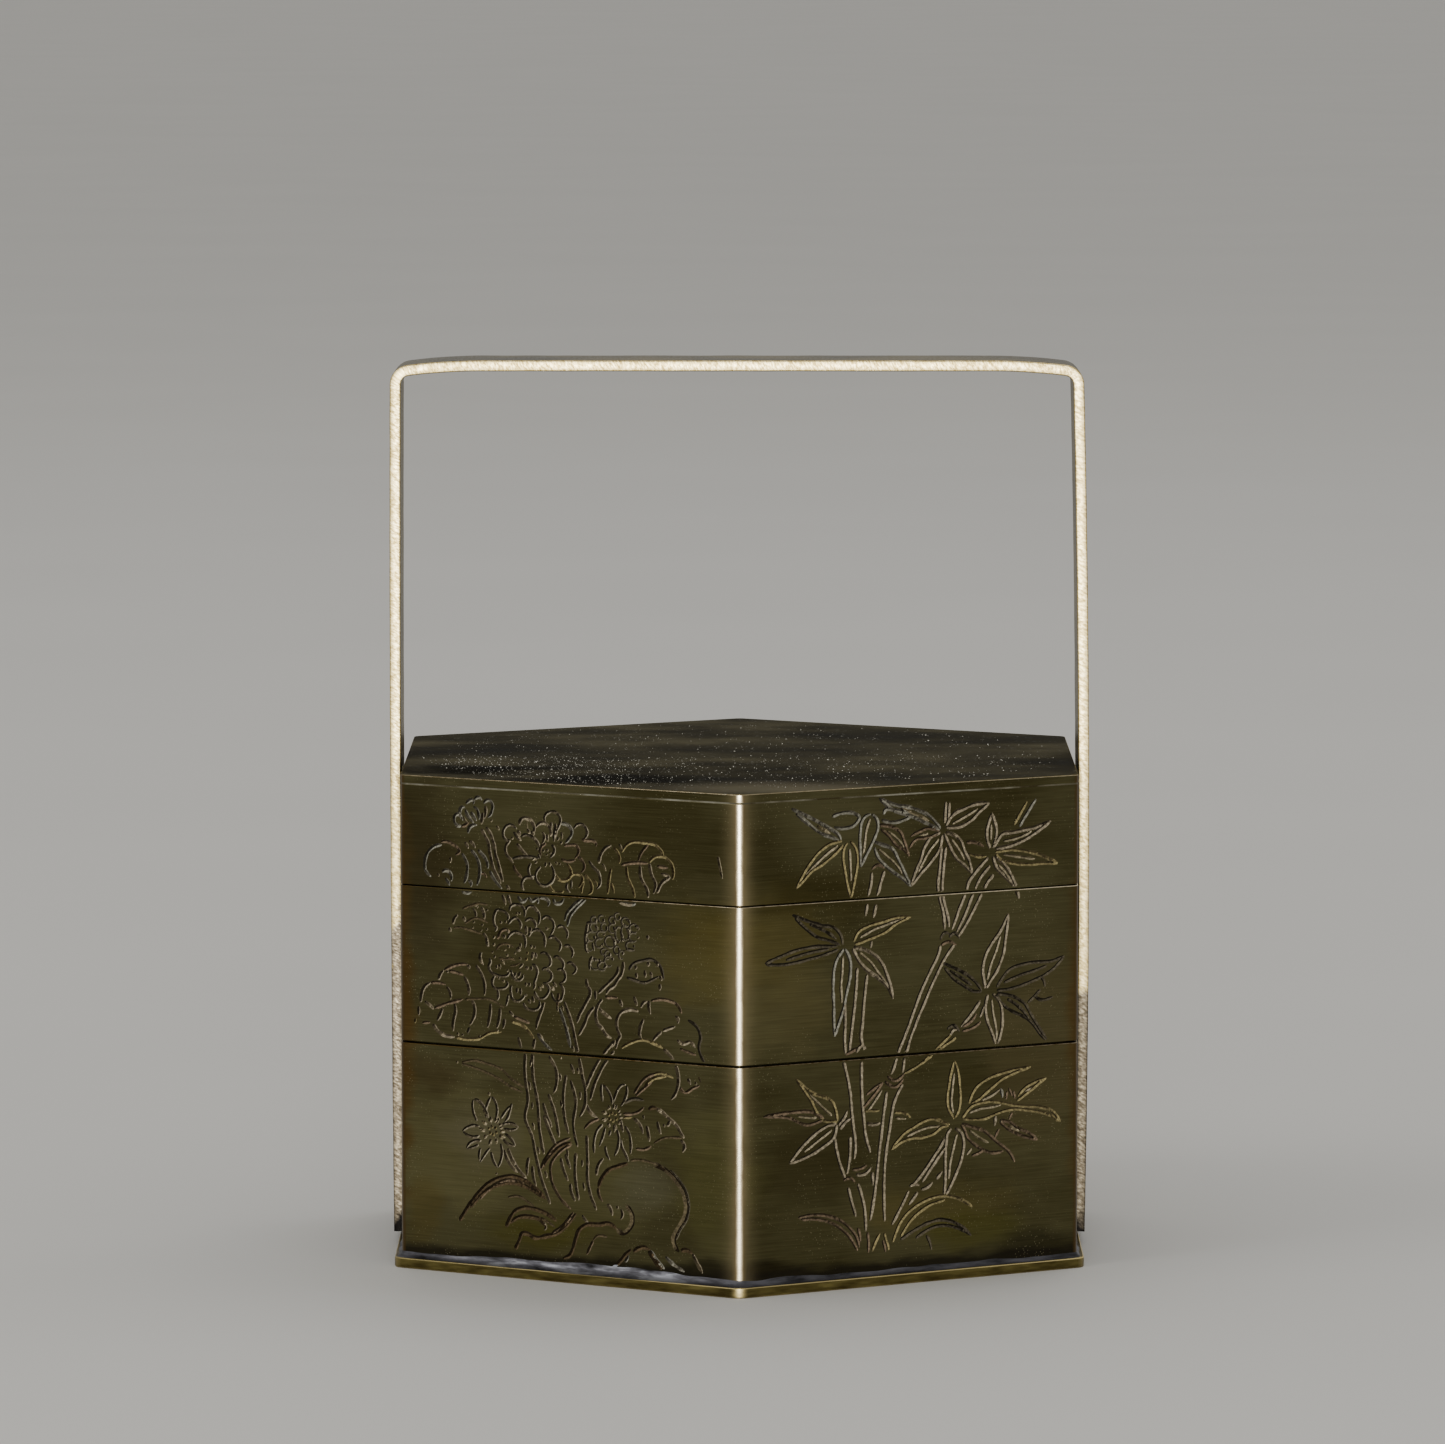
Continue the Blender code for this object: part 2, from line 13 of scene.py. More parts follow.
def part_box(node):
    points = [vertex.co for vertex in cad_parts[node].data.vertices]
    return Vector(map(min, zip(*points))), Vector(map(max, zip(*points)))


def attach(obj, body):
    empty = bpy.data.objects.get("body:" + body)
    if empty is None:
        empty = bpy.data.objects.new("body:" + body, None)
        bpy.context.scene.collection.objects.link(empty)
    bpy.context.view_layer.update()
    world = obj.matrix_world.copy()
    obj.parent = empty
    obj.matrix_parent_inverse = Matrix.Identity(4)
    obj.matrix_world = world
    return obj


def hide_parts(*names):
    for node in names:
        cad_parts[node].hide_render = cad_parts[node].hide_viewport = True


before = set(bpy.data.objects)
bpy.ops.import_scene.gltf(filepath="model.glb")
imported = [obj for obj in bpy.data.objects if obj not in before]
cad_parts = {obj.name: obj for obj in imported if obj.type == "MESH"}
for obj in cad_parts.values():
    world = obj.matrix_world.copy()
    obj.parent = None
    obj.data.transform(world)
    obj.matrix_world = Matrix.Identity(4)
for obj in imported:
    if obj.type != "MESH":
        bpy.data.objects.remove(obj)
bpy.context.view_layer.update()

mm = 0.001


# Colour and nodes

def tint(hexColour):
    parts = [int(hexColour[i:i + 2], 16) / 255 for i in (1, 3, 5)]
    return [p / 12.92 if p <= 0.04045 else ((p + 0.055) / 1.055) ** 2.4 for p in parts] + [1.0]


def addNode(tree, kind, settings=None, links=None):
    # links come from a node's first output, or from (node, output name)
    made = tree.nodes.new("ShaderNode" + kind)
    for name, value in (settings or {}).items():
        if name == "stops":  # a colour ramp's places and colours
            ramp = made.color_ramp.elements
            while len(ramp) < len(value):
                ramp.new(0.5)
            for stop, (place, colour) in zip(ramp, value):
                stop.position = place
                stop.color = tint(colour)
        elif isinstance(name, int) or name in made.inputs:
            made.inputs[name].default_value = tint(value) if isinstance(value, str) else value
        else:
            setattr(made, name, value)
    for name, source in (links or {}).items():
        source, output = source if isinstance(source, tuple) else (source, 0)
        tree.links.new(source.outputs[output], made.inputs[name])
    return made


def newMaterial(name, settings):
    made = bpy.data.materials.new(name)
    made.use_nodes = True
    tree = made.node_tree
    tree.nodes.clear()
    shader = addNode(tree, "BsdfPrincipled", settings)
    addNode(tree, "OutputMaterial", links={"Surface": shader})
    place = addNode(tree, "TexCoord")
    inMm = addNode(tree, "VectorMath", {"operation": "SCALE", "Scale": 1 / mm}, {0: (place, "Object")})
    return made, tree, shader, inMm


def plug(tree, shader, colour, rough=None, bump=None):
    for source, name in ((colour, "Base Color"), (rough, "Roughness"), (bump, "Normal")):
        if source:
            tree.links.new(source.outputs[0], shader.inputs[name])


def mottle(tree, inMm, size, low=0.35, high=0.65, detail=3.0, shift=0.0):
    # patches about size = (x, y, z) millimetres across, as a share from 0 to 1
    settings = {"Scale": [1 / s for s in size], "Location": (shift, shift, shift)}
    stretched = addNode(tree, "Mapping", settings, {"Vector": inMm})
    grain = {"Scale": 1.0, "Detail": detail, "Roughness": 0.55}
    spots = addNode(tree, "TexNoise", grain, {"Vector": stretched})
    return addNode(tree, "MapRange", {"From Min": low, "From Max": high}, {"Value": spots})


def patchAt(tree, inMm, centre, reach, ragged):
    # 1 at the centre and 0 past the reach, both in millimetres, its edge broken up by ragged
    off = addNode(tree, "VectorMath", {"operation": "SUBTRACT", 1: centre}, {0: inMm})
    shares = addNode(tree, "VectorMath", {"operation": "DIVIDE", 1: reach}, {0: off})
    far = addNode(tree, "VectorMath", {"operation": "LENGTH"}, {0: shares})
    broken = addNode(tree, "Math", {"operation": "MULTIPLY_ADD", 1: 0.7, 2: -0.35}, {0: ragged})
    far = addNode(tree, "Math", {"operation": "ADD"}, {0: (far, "Value"), 1: broken})
    fade = {"interpolation_type": "SMOOTHSTEP", "From Min": 1.0, "From Max": 0.3}
    return addNode(tree, "MapRange", fade, {0: far})


# Camera, light and floor

camera = {
    "place": (0.1858, -891.1464, 137.8754),  # mm; the photograph's viewpoint
    "turn": -0.0021,  # radians to the side
    "tilt": 0.0966,  # radians down
    "focal": 9038.16,  # in pixels of the photograph
    "width": 1445,  # the photograph's pixels across
    "sensor": 36.0,
}
studio = {
    "worldColour": "#f4f3f0",
    "worldStrength": 0.55,
    "floorColours": ("#d8d6d1", "#dad8d3"),
    "floorReach": 12.0,  # m from the middle to the floor's edge
    # name: place in m, what it points at, size in m, radiance
    "frontBox": ((0.0, -1.05, 0.16), (0, 0, 0.045), (0.42, 0.24), 9.0),
    "lowStrip": ((0.0, -0.60, 0.038), (0, 0, 0.03), (0.20, 0.07), 31.0),
    "leftBox": ((-0.9, -0.5, 0.9), (0, 0, 0.04), (0.6, 0.6), 2.0),
    "topBox": ((0.2, 0.5, 1.2), (0, 0, 0.04), (0.9, 0.6), 1.6),
}


def makeCamera():
    lens = bpy.data.cameras.new("camera")
    lens.sensor_fit = "HORIZONTAL"
    lens.sensor_width = camera["sensor"]
    lens.lens = camera["sensor"] * camera["focal"] / camera["width"]
    lens.clip_start = 0.01
    eye = bpy.data.objects.new("camera", lens)
    bpy.context.scene.collection.objects.link(eye)
    eye.location = Vector(camera["place"]) * mm
    eye.rotation_euler = (math.pi / 2 - camera["tilt"], 0, -camera["turn"])
    bpy.context.scene.camera = eye


def makeLights():
    world = bpy.data.worlds.new("softRoom")
    bpy.context.scene.world = world
    world.use_nodes = True
    world.node_tree.nodes.clear()
    settings = {"Color": studio["worldColour"], "Strength": studio["worldStrength"]}
    glow = addNode(world.node_tree, "Background", settings)
    addNode(world.node_tree, "OutputWorld", links={"Surface": glow})
    for name in ("frontBox", "lowStrip", "leftBox", "topBox"):
        place, target, size, radiance = studio[name]
        lamp = bpy.data.lights.new(name, "AREA")
        lamp.shape = "RECTANGLE"
        lamp.size, lamp.size_y = size
        lamp.energy = radiance * math.pi * size[0] * size[1]
        box = bpy.data.objects.new(name, lamp)
        bpy.context.scene.collection.objects.link(box)
        box.location = place
        box.rotation_euler = (Vector(target) - Vector(place)).to_track_quat("-Z", "Y").to_euler()
        box.visible_camera = False


def makeFloor():
    shape = bmesh.new()
    bmesh.ops.create_grid(shape, x_segments=8, y_segments=8, size=studio["floorReach"])
    mesh = bpy.data.meshes.new("floor")
    shape.to_mesh(mesh)
    shape.free()
    floor = bpy.data.objects.new("floor", mesh)
    bpy.context.scene.collection.objects.link(floor)
    # painted board: pale and matt, with a faint unevenness
    paint, tree, shader, inMm = newMaterial("mattPaintedBoard", {"Roughness": 0.8})
    uneven = mottle(tree, inMm, (90, 90, 90), 0.3, 0.7, 1.0)
    darker, paler = studio["floorColours"]
    colour = addNode(tree, "MixRGB", {"Color1": darker, "Color2": paler}, {"Fac": uneven})
    plug(tree, shader, colour)
    mesh.materials.append(paint)


makeCamera()
makeLights()
makeFloor()
print("stage: camera, lights and floor")


# Rings around the six-sided body, in millimetres. Corner 0 faces the camera and wall 0 is on its right.

body = {
    "wall": 1.0,  # thickness of the sheet
    "bend": 1.0,  # outer radius where two walls meet
    "innerBend": 0.3,
    "bendSteps": 8,
    "edge": 0.06,  # rounding of a sheet's long edges
    "rimEdge": 0.11,  # rounding of a tray's rim, worn by the tier above it
    "edgeSteps": 5,
    "border": 0.35,  # flat strip beside a bend, which keeps the bend's shading off the wall
    "rimBorder": 0.06,
    "lipHeight": 1.6,
    "lipDepth": 2.5,
    "lipSheet": 0.8,
    "lipGap": 0.25,
    "floorSheet": 0.9,
    "seams": {"low": 0.03, "high": 0.065},  # how far each tier's edge closes the gap to the next
    "lidRise": (0.24, 0.10),  # how far the lid's wall and top stand above their solids' edges, at their seam
    # how bright each edge is rubbed, from 0 to 1, and the rims at their left and right corner, their rise to
    # the right a painted highlight
    "footRub": 0.05,
    "lowRim": (0.26, 0.42),
    "highRim": (0.12, 0.9),
    "lipRub": 0.35,
    "topRim": (0.40, 0.62),
    "rimSpan": 1.4,  # over what width a rim's rubbing and painted highlight changes, as a share of the walls' distance
    "bendFade": (0.0, 0.6),  # the least rubbing beside a bend's middle, and how sharply it falls to that
    "frontFade": (0.15, 1.2),  # the same for the bend that faces the camera, its narrow peak a painted highlight
}
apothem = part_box("lid_walls")[1].x / mm
cornerWearAndHighlight = (1.0, 0.30, 0.20, 0.25, 0.20, 0.30)  # how far each corner is rubbed bright; the front corner's 1.0 is mostly a painted highlight
frontWalls = {"garden": 5, "bamboo": 0}


def filleted(points):
    # points are (inset, height, rounding, rubbing and painted highlight) in order; returns (inset, height,
    # rubbing and painted highlight)
    made = []
    for index, (inset, height, rounding, rubbingAndHighlight) in enumerate(points):
        here = Vector((inset, height))
        if not rounding:
            made.append((inset, height, rubbingAndHighlight))
            continue
        start = here + (Vector(points[index - 1][:2]) - here).normalized() * rounding
        end = here + (Vector(points[(index + 1) % len(points)][:2]) - here).normalized() * rounding
        for step in range(body["edgeSteps"] + 1):
            t = step / body["edgeSteps"]
            bent = start * (1 - t) ** 2 + here * 2 * t * (1 - t) + end * t ** 2
            made.append((bent.x, bent.y, rubbingAndHighlight if 0 < t < 1 else 0))
    return made


def wearAndHighlightAt(rubAndHighlight, place):
    # how bright an edge is rubbed or painted with highlight: even, or from its left to its right end, where
    # place goes from 0 to 1
    if not isinstance(rubAndHighlight, tuple):
        return rubAndHighlight
    left, right = rubAndHighlight
    return left + (right - left) * min(max(place, 0), 1)


def ringAt(inset, height, rubAndHighlight, reach=None, bend=None):
    # one level of a six-sided wall: its points, and how bright each is rubbed or painted with highlight
    reach = (reach or apothem) - inset
    radius = max((bend or body["bend"]) - inset, body["innerBend"])
    half = (reach - radius) * math.tan(math.pi / 6) - body["border"]
    points, wornAndHighlight = [], []
    for corner in range(6):
        angle = math.radians(60 * corner - 90)
        middle = (reach - radius) / math.cos(math.pi / 6)
        least, power = body["frontFade"] if corner == 0 else body["bendFade"]
        for step in range(body["bendSteps"] + 1):
            turn = angle + math.radians(60 * step / body["bendSteps"] - 30)
            x = middle * math.cos(angle) + radius * math.cos(turn)
            y = middle * math.sin(angle) + radius * math.sin(turn)
            points.append((x, y, height))
            across = 1 - abs(2 * step / body["bendSteps"] - 1)
            share = least + (1 - least) * across ** power
            # the front corner's brightness here is mostly a painted highlight
            bright = cornerWearAndHighlight[corner] * share if inset < body["wall"] / 2 else 0
            wornAndHighlight.append(max(wearAndHighlightAt(rubAndHighlight, x / reach / body["rimSpan"] + 0.5), bright))
        facing = angle + math.pi / 6
        for side in (-half, half):
            x = reach * math.cos(facing) - side * math.sin(facing)
            y = reach * math.sin(facing) + side * math.cos(facing)
            points.append((x, y, height))
            wornAndHighlight.append(wearAndHighlightAt(rubAndHighlight, x / reach / body["rimSpan"] + 0.5))
    return points, wornAndHighlight


def bridge(low, high, count):
    # quads from one ring of count vertices to the next, given each ring's first vertex
    return [(low + i, low + (i + 1) % count, high + (i + 1) % count, high + i) for i in range(count)]


def sweep(profile, closed, openBand=None, reach=None, bend=None):
    # rings along a profile, joined by quads; openBand leaves out the two front walls between two rings
    points, wornAndHighlight, faces = [], [], []
    for inset, height, rubAndHighlight in profile:
        ring, rubbed = ringAt(inset, height, rubAndHighlight, reach, bend)
        points += ring
        wornAndHighlight += rubbed
    perWall = body["bendSteps"] + 3
    count = 6 * perWall
    flats = [perWall * wall + body["bendSteps"] + 1 for wall in frontWalls.values()]
    levels = len(profile)
    for level in range(levels if closed else levels - 1):
        quads = bridge(level * count, (level + 1) % levels * count, count)
        if level == openBand:
            quads = [quad for index, quad in enumerate(quads) if index not in flats]
        faces += quads
    if not closed:
        faces.append(tuple(range(count))[::-1])
        faces.append(tuple(range((levels - 1) * count, levels * count)))
    return points, wornAndHighlight, faces


def wallPlane(wall):
    # where a place on a wall's face lies: its lower left corner, then right and outwards
    facing = math.radians(60 * wall - 60)
    outwards = np.array((math.cos(facing), math.sin(facing), 0.0))
    across = np.array((-outwards[1], outwards[0], 0.0))
    return outwards * apothem - across * apothem * math.tan(math.pi / 6), across, outwards


def makeMesh(name, points, faces, materials, slots=None, wornAndHighlight=None, cut=None):
    # points in mm; cut is a colour for each corner of each face, with the cuts' painted shade and highlight
    mesh = bpy.data.meshes.new(name)
    mesh.from_pydata([tuple(c * mm for c in p) for p in points], [], faces)
    for material in materials:
        mesh.materials.append(material)
    if slots is not None:
        mesh.polygons.foreach_set("material_index", slots)
    if wornAndHighlight is not None:
        layer = mesh.attributes.new("rubbed", "FLOAT", "POINT")
        layer.data.foreach_set("value", np.array(wornAndHighlight, np.float32))
    if cut is not None:
        layer = mesh.attributes.new("cutColour", "FLOAT_COLOR", "CORNER")
        layer.data.foreach_set("color", np.array(cut, np.float32).ravel())
    piece = bpy.data.objects.new(name, mesh)
    bpy.context.scene.collection.objects.link(piece)
    return piece


def tidyMesh(piece, smoothTo=25):
    # welds the seams between panels, and shades smooth up to an angle but never across the cut lines' edges
    mesh = piece.data
    shape = bmesh.new()
    shape.from_mesh(mesh)
    bmesh.ops.remove_doubles(shape, verts=shape.verts, dist=0.0004 * mm)
    bmesh.ops.dissolve_degenerate(shape, edges=shape.edges, dist=0.0002 * mm)
    bmesh.ops.recalc_face_normals(shape, faces=shape.faces)
    for edge in shape.edges:
        sides = edge.link_faces
        mixed = len(sides) == 2 and sides[0].material_index != sides[1].material_index
        edge.smooth = not (mixed or edge.calc_face_angle(math.pi) > math.radians(smoothTo))
    for face in shape.faces:
        face.smooth = True
    shape.to_mesh(mesh)
    shape.free()


def dress(piece, node):
    if node:
        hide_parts(node)
    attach(piece, "root")
    print(piece.name + ":", len(piece.data.polygons), "faces")


# Engraving: strokes of a burin, in millimetres on a front wall, from its lower left corner

burin = {
    "step": 0.22,  # mm between two stations of a stroke
    "slope": 0.6,  # depth as a share of half the width
    "lean": -0.16,  # how far the bottom lies off the middle, to the left
    "shift": (-0.07, 0.03),  # mm from a place read off the photograph, a stroke's bright side, to its middle
    "dimmer": {"garden": 1.0, "bamboo": 0.8},  # painted shade: how bright each drawing's strokes are, the bamboo wall's darkened as if lit less
    "waver": 0.03,  # mm that the hand strays
    "entry": 0.25,  # mm in which a stroke opens, and the longer run in which it closes
    "exit": 0.5,
    "tips": (0.5, 0.35),  # the width left where a stroke starts and where it ends
    "closing": 0.7,  # how bluntly it ends, 1 for straight
    "strays": ((1.7, 0.0), (3.1, 7.0), (0.9, 3.0)),  # waves per mm, and a shift, for width, depth and course
    "uneven": (0.30, 0.35),  # by what share width and depth stray
    "blotches": (0.55, 0.45),  # what each of them adds to the polish's blotches
    "lit": (-0.89, 0.45),  # the way that a bank faces to take the painted highlight: left, and a little up
    "banks": (0.14, 0.42, 0.3),  # painted highlight by side and by how it faces, and brighter by blotches
    "level": 0.4,  # how much painted shade darkens a petal's cut where it runs level
    "margin": 0.015,  # mm that strokes keep off the edge of their panel
    "apart": 3.7,  # how far apart in the noise two strokes' strays begin
}
# width in mm, share of the lean, then the cut's colour on its shaded bank, its bottom and its bright bank;
# the banks differ by painted shade and painted highlight
strokeKinds = {
    "cream": (0.39, 1.0, "#1f1b13", "#5c523f", "#a0937a"),
    "petal": (0.33, 1.0, "#1c1912", "#544b3a", "#b5a98f"),
    "silver": (0.37, 1.0, "#1f1d17", "#565145", "#949080"),
    "gold": (0.35, 1.0, "#221c10", "#5a5036", "#9e9064"),
    "brown": (0.35, 1.0, "#1e1910", "#463b2b", "#83705a"),
    "dark": (0.34, 0.0, "#1a1812", "#28231a", "#625a49"),
    "deep": (0.44, 0.5, "#1e1810", "#33291b", "#5b4c36"),
    "turned": (0.52, 0.5, "#5f553f", "#292016", "#1a140b"),
    "faint": (0.28, 1.0, "#2b2517", "#423a28", "#5f523d"),
    "rim": (0.25, 0.0, "#26221a", "#3b3528", "#6f6855"),
    "hair": (0.32, 1.0, "#1f1b13", "#62583f", "#aa9d80"),
}
cutShades = {kind: [np.array(tint(colour)) for colour in row[2:]] for kind, row in strokeKinds.items()}


def smoothLine(points, step):
    # a curve through the points, sampled about every step
    at = np.array(points, float)
    if len(at) == 2:
        at = np.array((at[0], (at[0] + at[1]) / 2, at[1]))
    gaps = np.maximum(np.linalg.norm(np.diff(at, axis=0), axis=1), 1e-6)
    slopes = np.diff(at, axis=0) / gaps[:, None]
    tangent = np.empty_like(at)
    share = gaps[:-1] / (gaps[:-1] + gaps[1:])
    tangent[1:-1] = slopes[:-1] * (1 - share)[:, None] + slopes[1:] * share[:, None]
    tangent[0] = 1.5 * slopes[0] - 0.5 * tangent[1]
    tangent[-1] = 1.5 * slopes[-1] - 0.5 * tangent[-2]
    made = []
    for index, gap in enumerate(gaps):
        count = max(2, int(math.ceil(gap / step)))
        t = (np.arange(count) / count)[:, None]
        first, second = at[index], at[index + 1]
        leave, arrive = tangent[index] * gap, tangent[index + 1] * gap
        made.append(
            (2 * t**3 - 3 * t**2 + 1) * first + (t**3 - 2 * t**2 + t) * leave
            + (3 * t**2 - 2 * t**3) * second + (t**3 - t**2) * arrive
        )
    made.append(at[-1:])
    return np.concatenate(made)


def strokeBanks(kind, points, seed):
    # stations of one stroke: both banks, the bottom line and its depth
    width, leanShare = strokeKinds[kind][:2]
    middle = smoothLine(points, burin["step"]) + np.array(burin["shift"])
    along = np.gradient(middle, axis=0)
    along /= np.maximum(np.linalg.norm(along, axis=1), 1e-9)[:, None]
    aside = np.stack((-along[:, 1], along[:, 0]), axis=1)
    run = np.concatenate(([0], np.cumsum(np.linalg.norm(np.diff(middle, axis=0), axis=1))))
    length = run[-1]
    entry = min(burin["entry"], length / 3)
    leave = min(burin["exit"], length / 2)
    start, end = burin["tips"]
    opening = np.clip(run / entry, 0, 1) * (1 - start) + start
    closing = np.clip((length - run) / leave, 0, 1) ** burin["closing"] * (1 - end) + end
    rough, fine, stray = [
        np.array([noise.noise(Vector((rate * far, seed, shift))) for far in run])
        for rate, shift in burin["strays"]
    ]
    wider, deeper = burin["uneven"]
    half = width / 2 * np.minimum(opening, closing) * (1 + wider * rough)
    middle = middle + aside * (burin["waver"] * stray)[:, None]
    depth = half * burin["slope"] * (1 + deeper * fine)
    bottom = middle - aside * (half * burin["lean"] * leanShare * aside[:, 0])[:, None]
    return {
        "kind": kind,
        "middle": middle,
        "left": middle + aside * half[:, None],
        "right": middle - aside * half[:, None],
        "bottom": bottom,
        "depth": depth,
        "half": half,
        "tone": burin["blotches"][0] * rough + burin["blotches"][1] * fine,
    }


def clipped(stroke, low, high):
    # the runs of a stroke that lie inside a panel, pressed against its edge where they cross it
    inside = np.all((stroke["bottom"] > low) & (stroke["bottom"] < high), axis=1)
    runs, start = [], None
    for index, within in enumerate(list(inside) + [False]):
        if within and start is None:
            start = index
        elif not within and start is not None:
            first, last = max(start - 1, 0), min(index + 1, len(inside))
            if last - first >= 2:
                piece = {name: value[first:last] for name, value in stroke.items() if name != "kind"}
                for name in ("left", "right", "bottom", "middle"):
                    piece[name] = np.clip(piece[name], low, high)
                piece["depth"] = piece["depth"].copy()
                piece["depth"][[0, -1]] = 0  # a cut runs out at both ends
                piece["kind"] = stroke["kind"]
                runs.append(piece)
            start = None
    return runs


def panelNet(runs, low, high):
    # triangles between the panel's edge and each run's banks and bottom line, each place's depth and
    # stroke, and all strokes that it lies on
    places = [(low[0], low[1]), (high[0], low[1]), (high[0], high[1]), (low[0], high[1])]
    lines = [(0, 1), (1, 2), (2, 3), (3, 0)]
    owner = [-1] * 4
    depths = [0.0] * 4
    for number, run in enumerate(runs):
        count = len(run["half"])
        base = len(places)
        for name in ("left", "bottom", "right"):
            start = len(places)
            places += [tuple(p) for p in run[name]]
            depths += list(run["depth"]) if name == "bottom" else [0.0] * count
            lines += [(start + i, start + i + 1) for i in range(count - 1)]
        owner += [number] * (3 * count)
        for end in (0, count - 1):
            lines += [(base + end, base + count + end), (base + count + end, base + 2 * count + end)]
    found = delaunay_2d_cdt([Vector(p) for p in places], lines, [], 0, 1e-5, True)
    spots = np.array([tuple(p) for p in found[0]])
    triangles = [tuple(t) for t in found[2]]
    depth = np.zeros(len(spots))
    stroke = np.full(len(spots), -1)
    own = [set(owner[i] for i in ids) for ids in found[3]]
    for vertex, ids in enumerate(found[3]):
        for source in ids:
            if depths[source] > depth[vertex]:
                depth[vertex] = depths[source]
                stroke[vertex] = owner[source]
    return spots, triangles, depth, stroke, own


def deepenCrossings(runs, spots, depth, stroke, own):
    # where strokes cross, each place takes the depth of the deepest
    for number, run in enumerate(runs):
        wide = run["half"].max()
        lowest = run["middle"].min(axis=0) - wide
        highest = run["middle"].max(axis=0) + wide
        near = np.flatnonzero(np.all((spots > lowest) & (spots < highest), axis=1))
        near = np.array([v for v in near if number not in own[v]], int)
        if not len(near):
            continue
        start, step = run["middle"][:-1], np.diff(run["middle"], axis=0)
        length = np.maximum((step ** 2).sum(axis=1), 1e-12)
        off = spots[near][:, None, :] - start[None]
        t = np.clip((off * step[None]).sum(axis=2) / length[None], 0, 1)
        far = np.linalg.norm(off - t[..., None] * step[None], axis=2)
        half = run["half"][:-1][None] * (1 - t) + run["half"][1:][None] * t
        deep = run["depth"][:-1][None] * (1 - t) + run["depth"][1:][None] * t
        reached = (deep * np.clip(1 - far / np.maximum(0.95 * half, 1e-6), 0, 1)).max(axis=1)
        deeper = reached > depth[near] + 1e-6
        depth[near[deeper]] = reached[deeper]
        stroke[near[deeper]] = number


def bankColour(run, place, slant):
    # the colour of a cut's face, between those of its shaded bank, its bottom and its bright bank: painted
    # shade and painted highlight by how the face slants to a fixed direction
    nearest = int(np.argmin(((run["bottom"] - place) ** 2).sum(axis=1)))
    slant = slant / max(np.linalg.norm(slant), 0.1)
    toward = slant @ np.array(burin["lit"])
    side, facing, blotch = burin["banks"]
    bank = 0.5 + side * np.sign(toward) + facing * toward + blotch * run["tone"][nearest]
    if run["kind"] == "petal":
        bank -= burin["level"] * (1 - abs(slant[0]))
    bank = min(max(bank, 0.0), 1.0) * 2
    first = int(bank > 1)
    share = bank - first
    shades = cutShades[run["kind"]]
    return shades[first] * (1 - share) + shades[first + 1] * share


def engravedPanel(strokes, low, high):
    # a flat panel with V-shaped cuts: places (u, z, depth), triangles, whether each is cut, and its colour
    # with painted shade and highlight
    low, high = np.array(low), np.array(high)
    runs = []
    for stroke in strokes:
        runs += clipped(stroke, low + burin["margin"], high - burin["margin"])
    spots, triangles, depth, owner, own = panelNet(runs, low, high)
    deepenCrossings(runs, spots, depth, owner, own)
    edge = burin["margin"] + 1e-4
    depth[np.any((spots < low + edge) | (spots > high - edge), axis=1)] = 0
    corners = np.array(triangles)
    cut = depth[corners].max(axis=1) > 1e-4
    solid = np.column_stack((spots, -depth))
    first = solid[corners[:, 0]]
    normal = np.cross(solid[corners[:, 1]] - first, solid[corners[:, 2]] - first)
    normal /= np.maximum(np.linalg.norm(normal, axis=1), 1e-12)[:, None]
    colours = np.zeros((len(triangles), 4))
    colours[:, 3] = 1.0
    for index in np.flatnonzero(cut):
        deepest = max(corners[index], key=lambda vertex: depth[vertex])
        colours[index] = bankColour(runs[owner[deepest]], spots[deepest], normal[index][:2])
    return solid, triangles, cut, colours


# The left wall's drawing: a flowering shrub with daisies and a rock. A word names the kind of cut and
# begins a stroke; its places u,z in mm, from the wall's lower left corner, follow.

def strokesOf(text):
    strokes = []
    for word in text.split():
        if word[0].isalpha():
            strokes.append((word, []))
        else:
            strokes[-1][1].append(tuple(float(part) for part in word.split(",")))
    return strokes


gardenBud = """
silver 7,43.55 6.6,43.6 6.3,43.85 6.2,44.2 6.35,44.6 6.7,44.7 7,44.45 7.2,44.1
brown 7,43.55 7.5,43.7 7.9,44.1
silver 6.9,44.75 6.9,45.15 7.1,45.4 7.45,45.4
silver 7.55,45.75 7.9,46.05 8.25,46.15 8.45,46 8.35,45.75
silver 8.5,46.2 8.8,46.45 9.1,46.45 9.35,46.2
silver 9.55,45.9 9.8,46.15 10.15,46.25 10.45,46.05 10.6,45.65 10.5,45.2 10.3,44.8 10,44.55
silver 7.5,45.2 7.65,44.8 8,44.35 8.45,43.95
silver 8.1,45 8.4,44.6 8.75,44.15
silver 8.4,45.5 8.8,45.3 9,44.8 9.05,44.3
cream 9.45,45 9.4,44.4 9.3,43.85
cream 9.75,45.7 9.8,45.1 9.65,44.4
hair 7.2,44.5 7.5,44.1 7.8,43.9
silver 7.8,42.9 7.9,43.4 8.2,43.65 8.8,43.75
cream 9.3,43.4 9.7,42.8 10.05,42.2 10.25,41.2 10.45,40.4 10.65,39.7 11.1,38.9 11.5,38.2
cream 9.8,43.6 10.2,43.2 10.55,42.5 10.8,41.6 10.95,40.9 11.2,40.2 11.45,39.3 11.75,38.4
silver 10.25,39.4 10.6,38.8 11.1,38.2 11.6,37.7
hair 10.35,44.35 10.5,44.15
hair 11,43.8 11.35,43.4
cream 12.15,38.1 12.5,37.6
cream 11.65,37.15 11.8,36.8 12.05,36.2
cream 12.3,37.2 12.45,36.7 12.7,36.2
"""
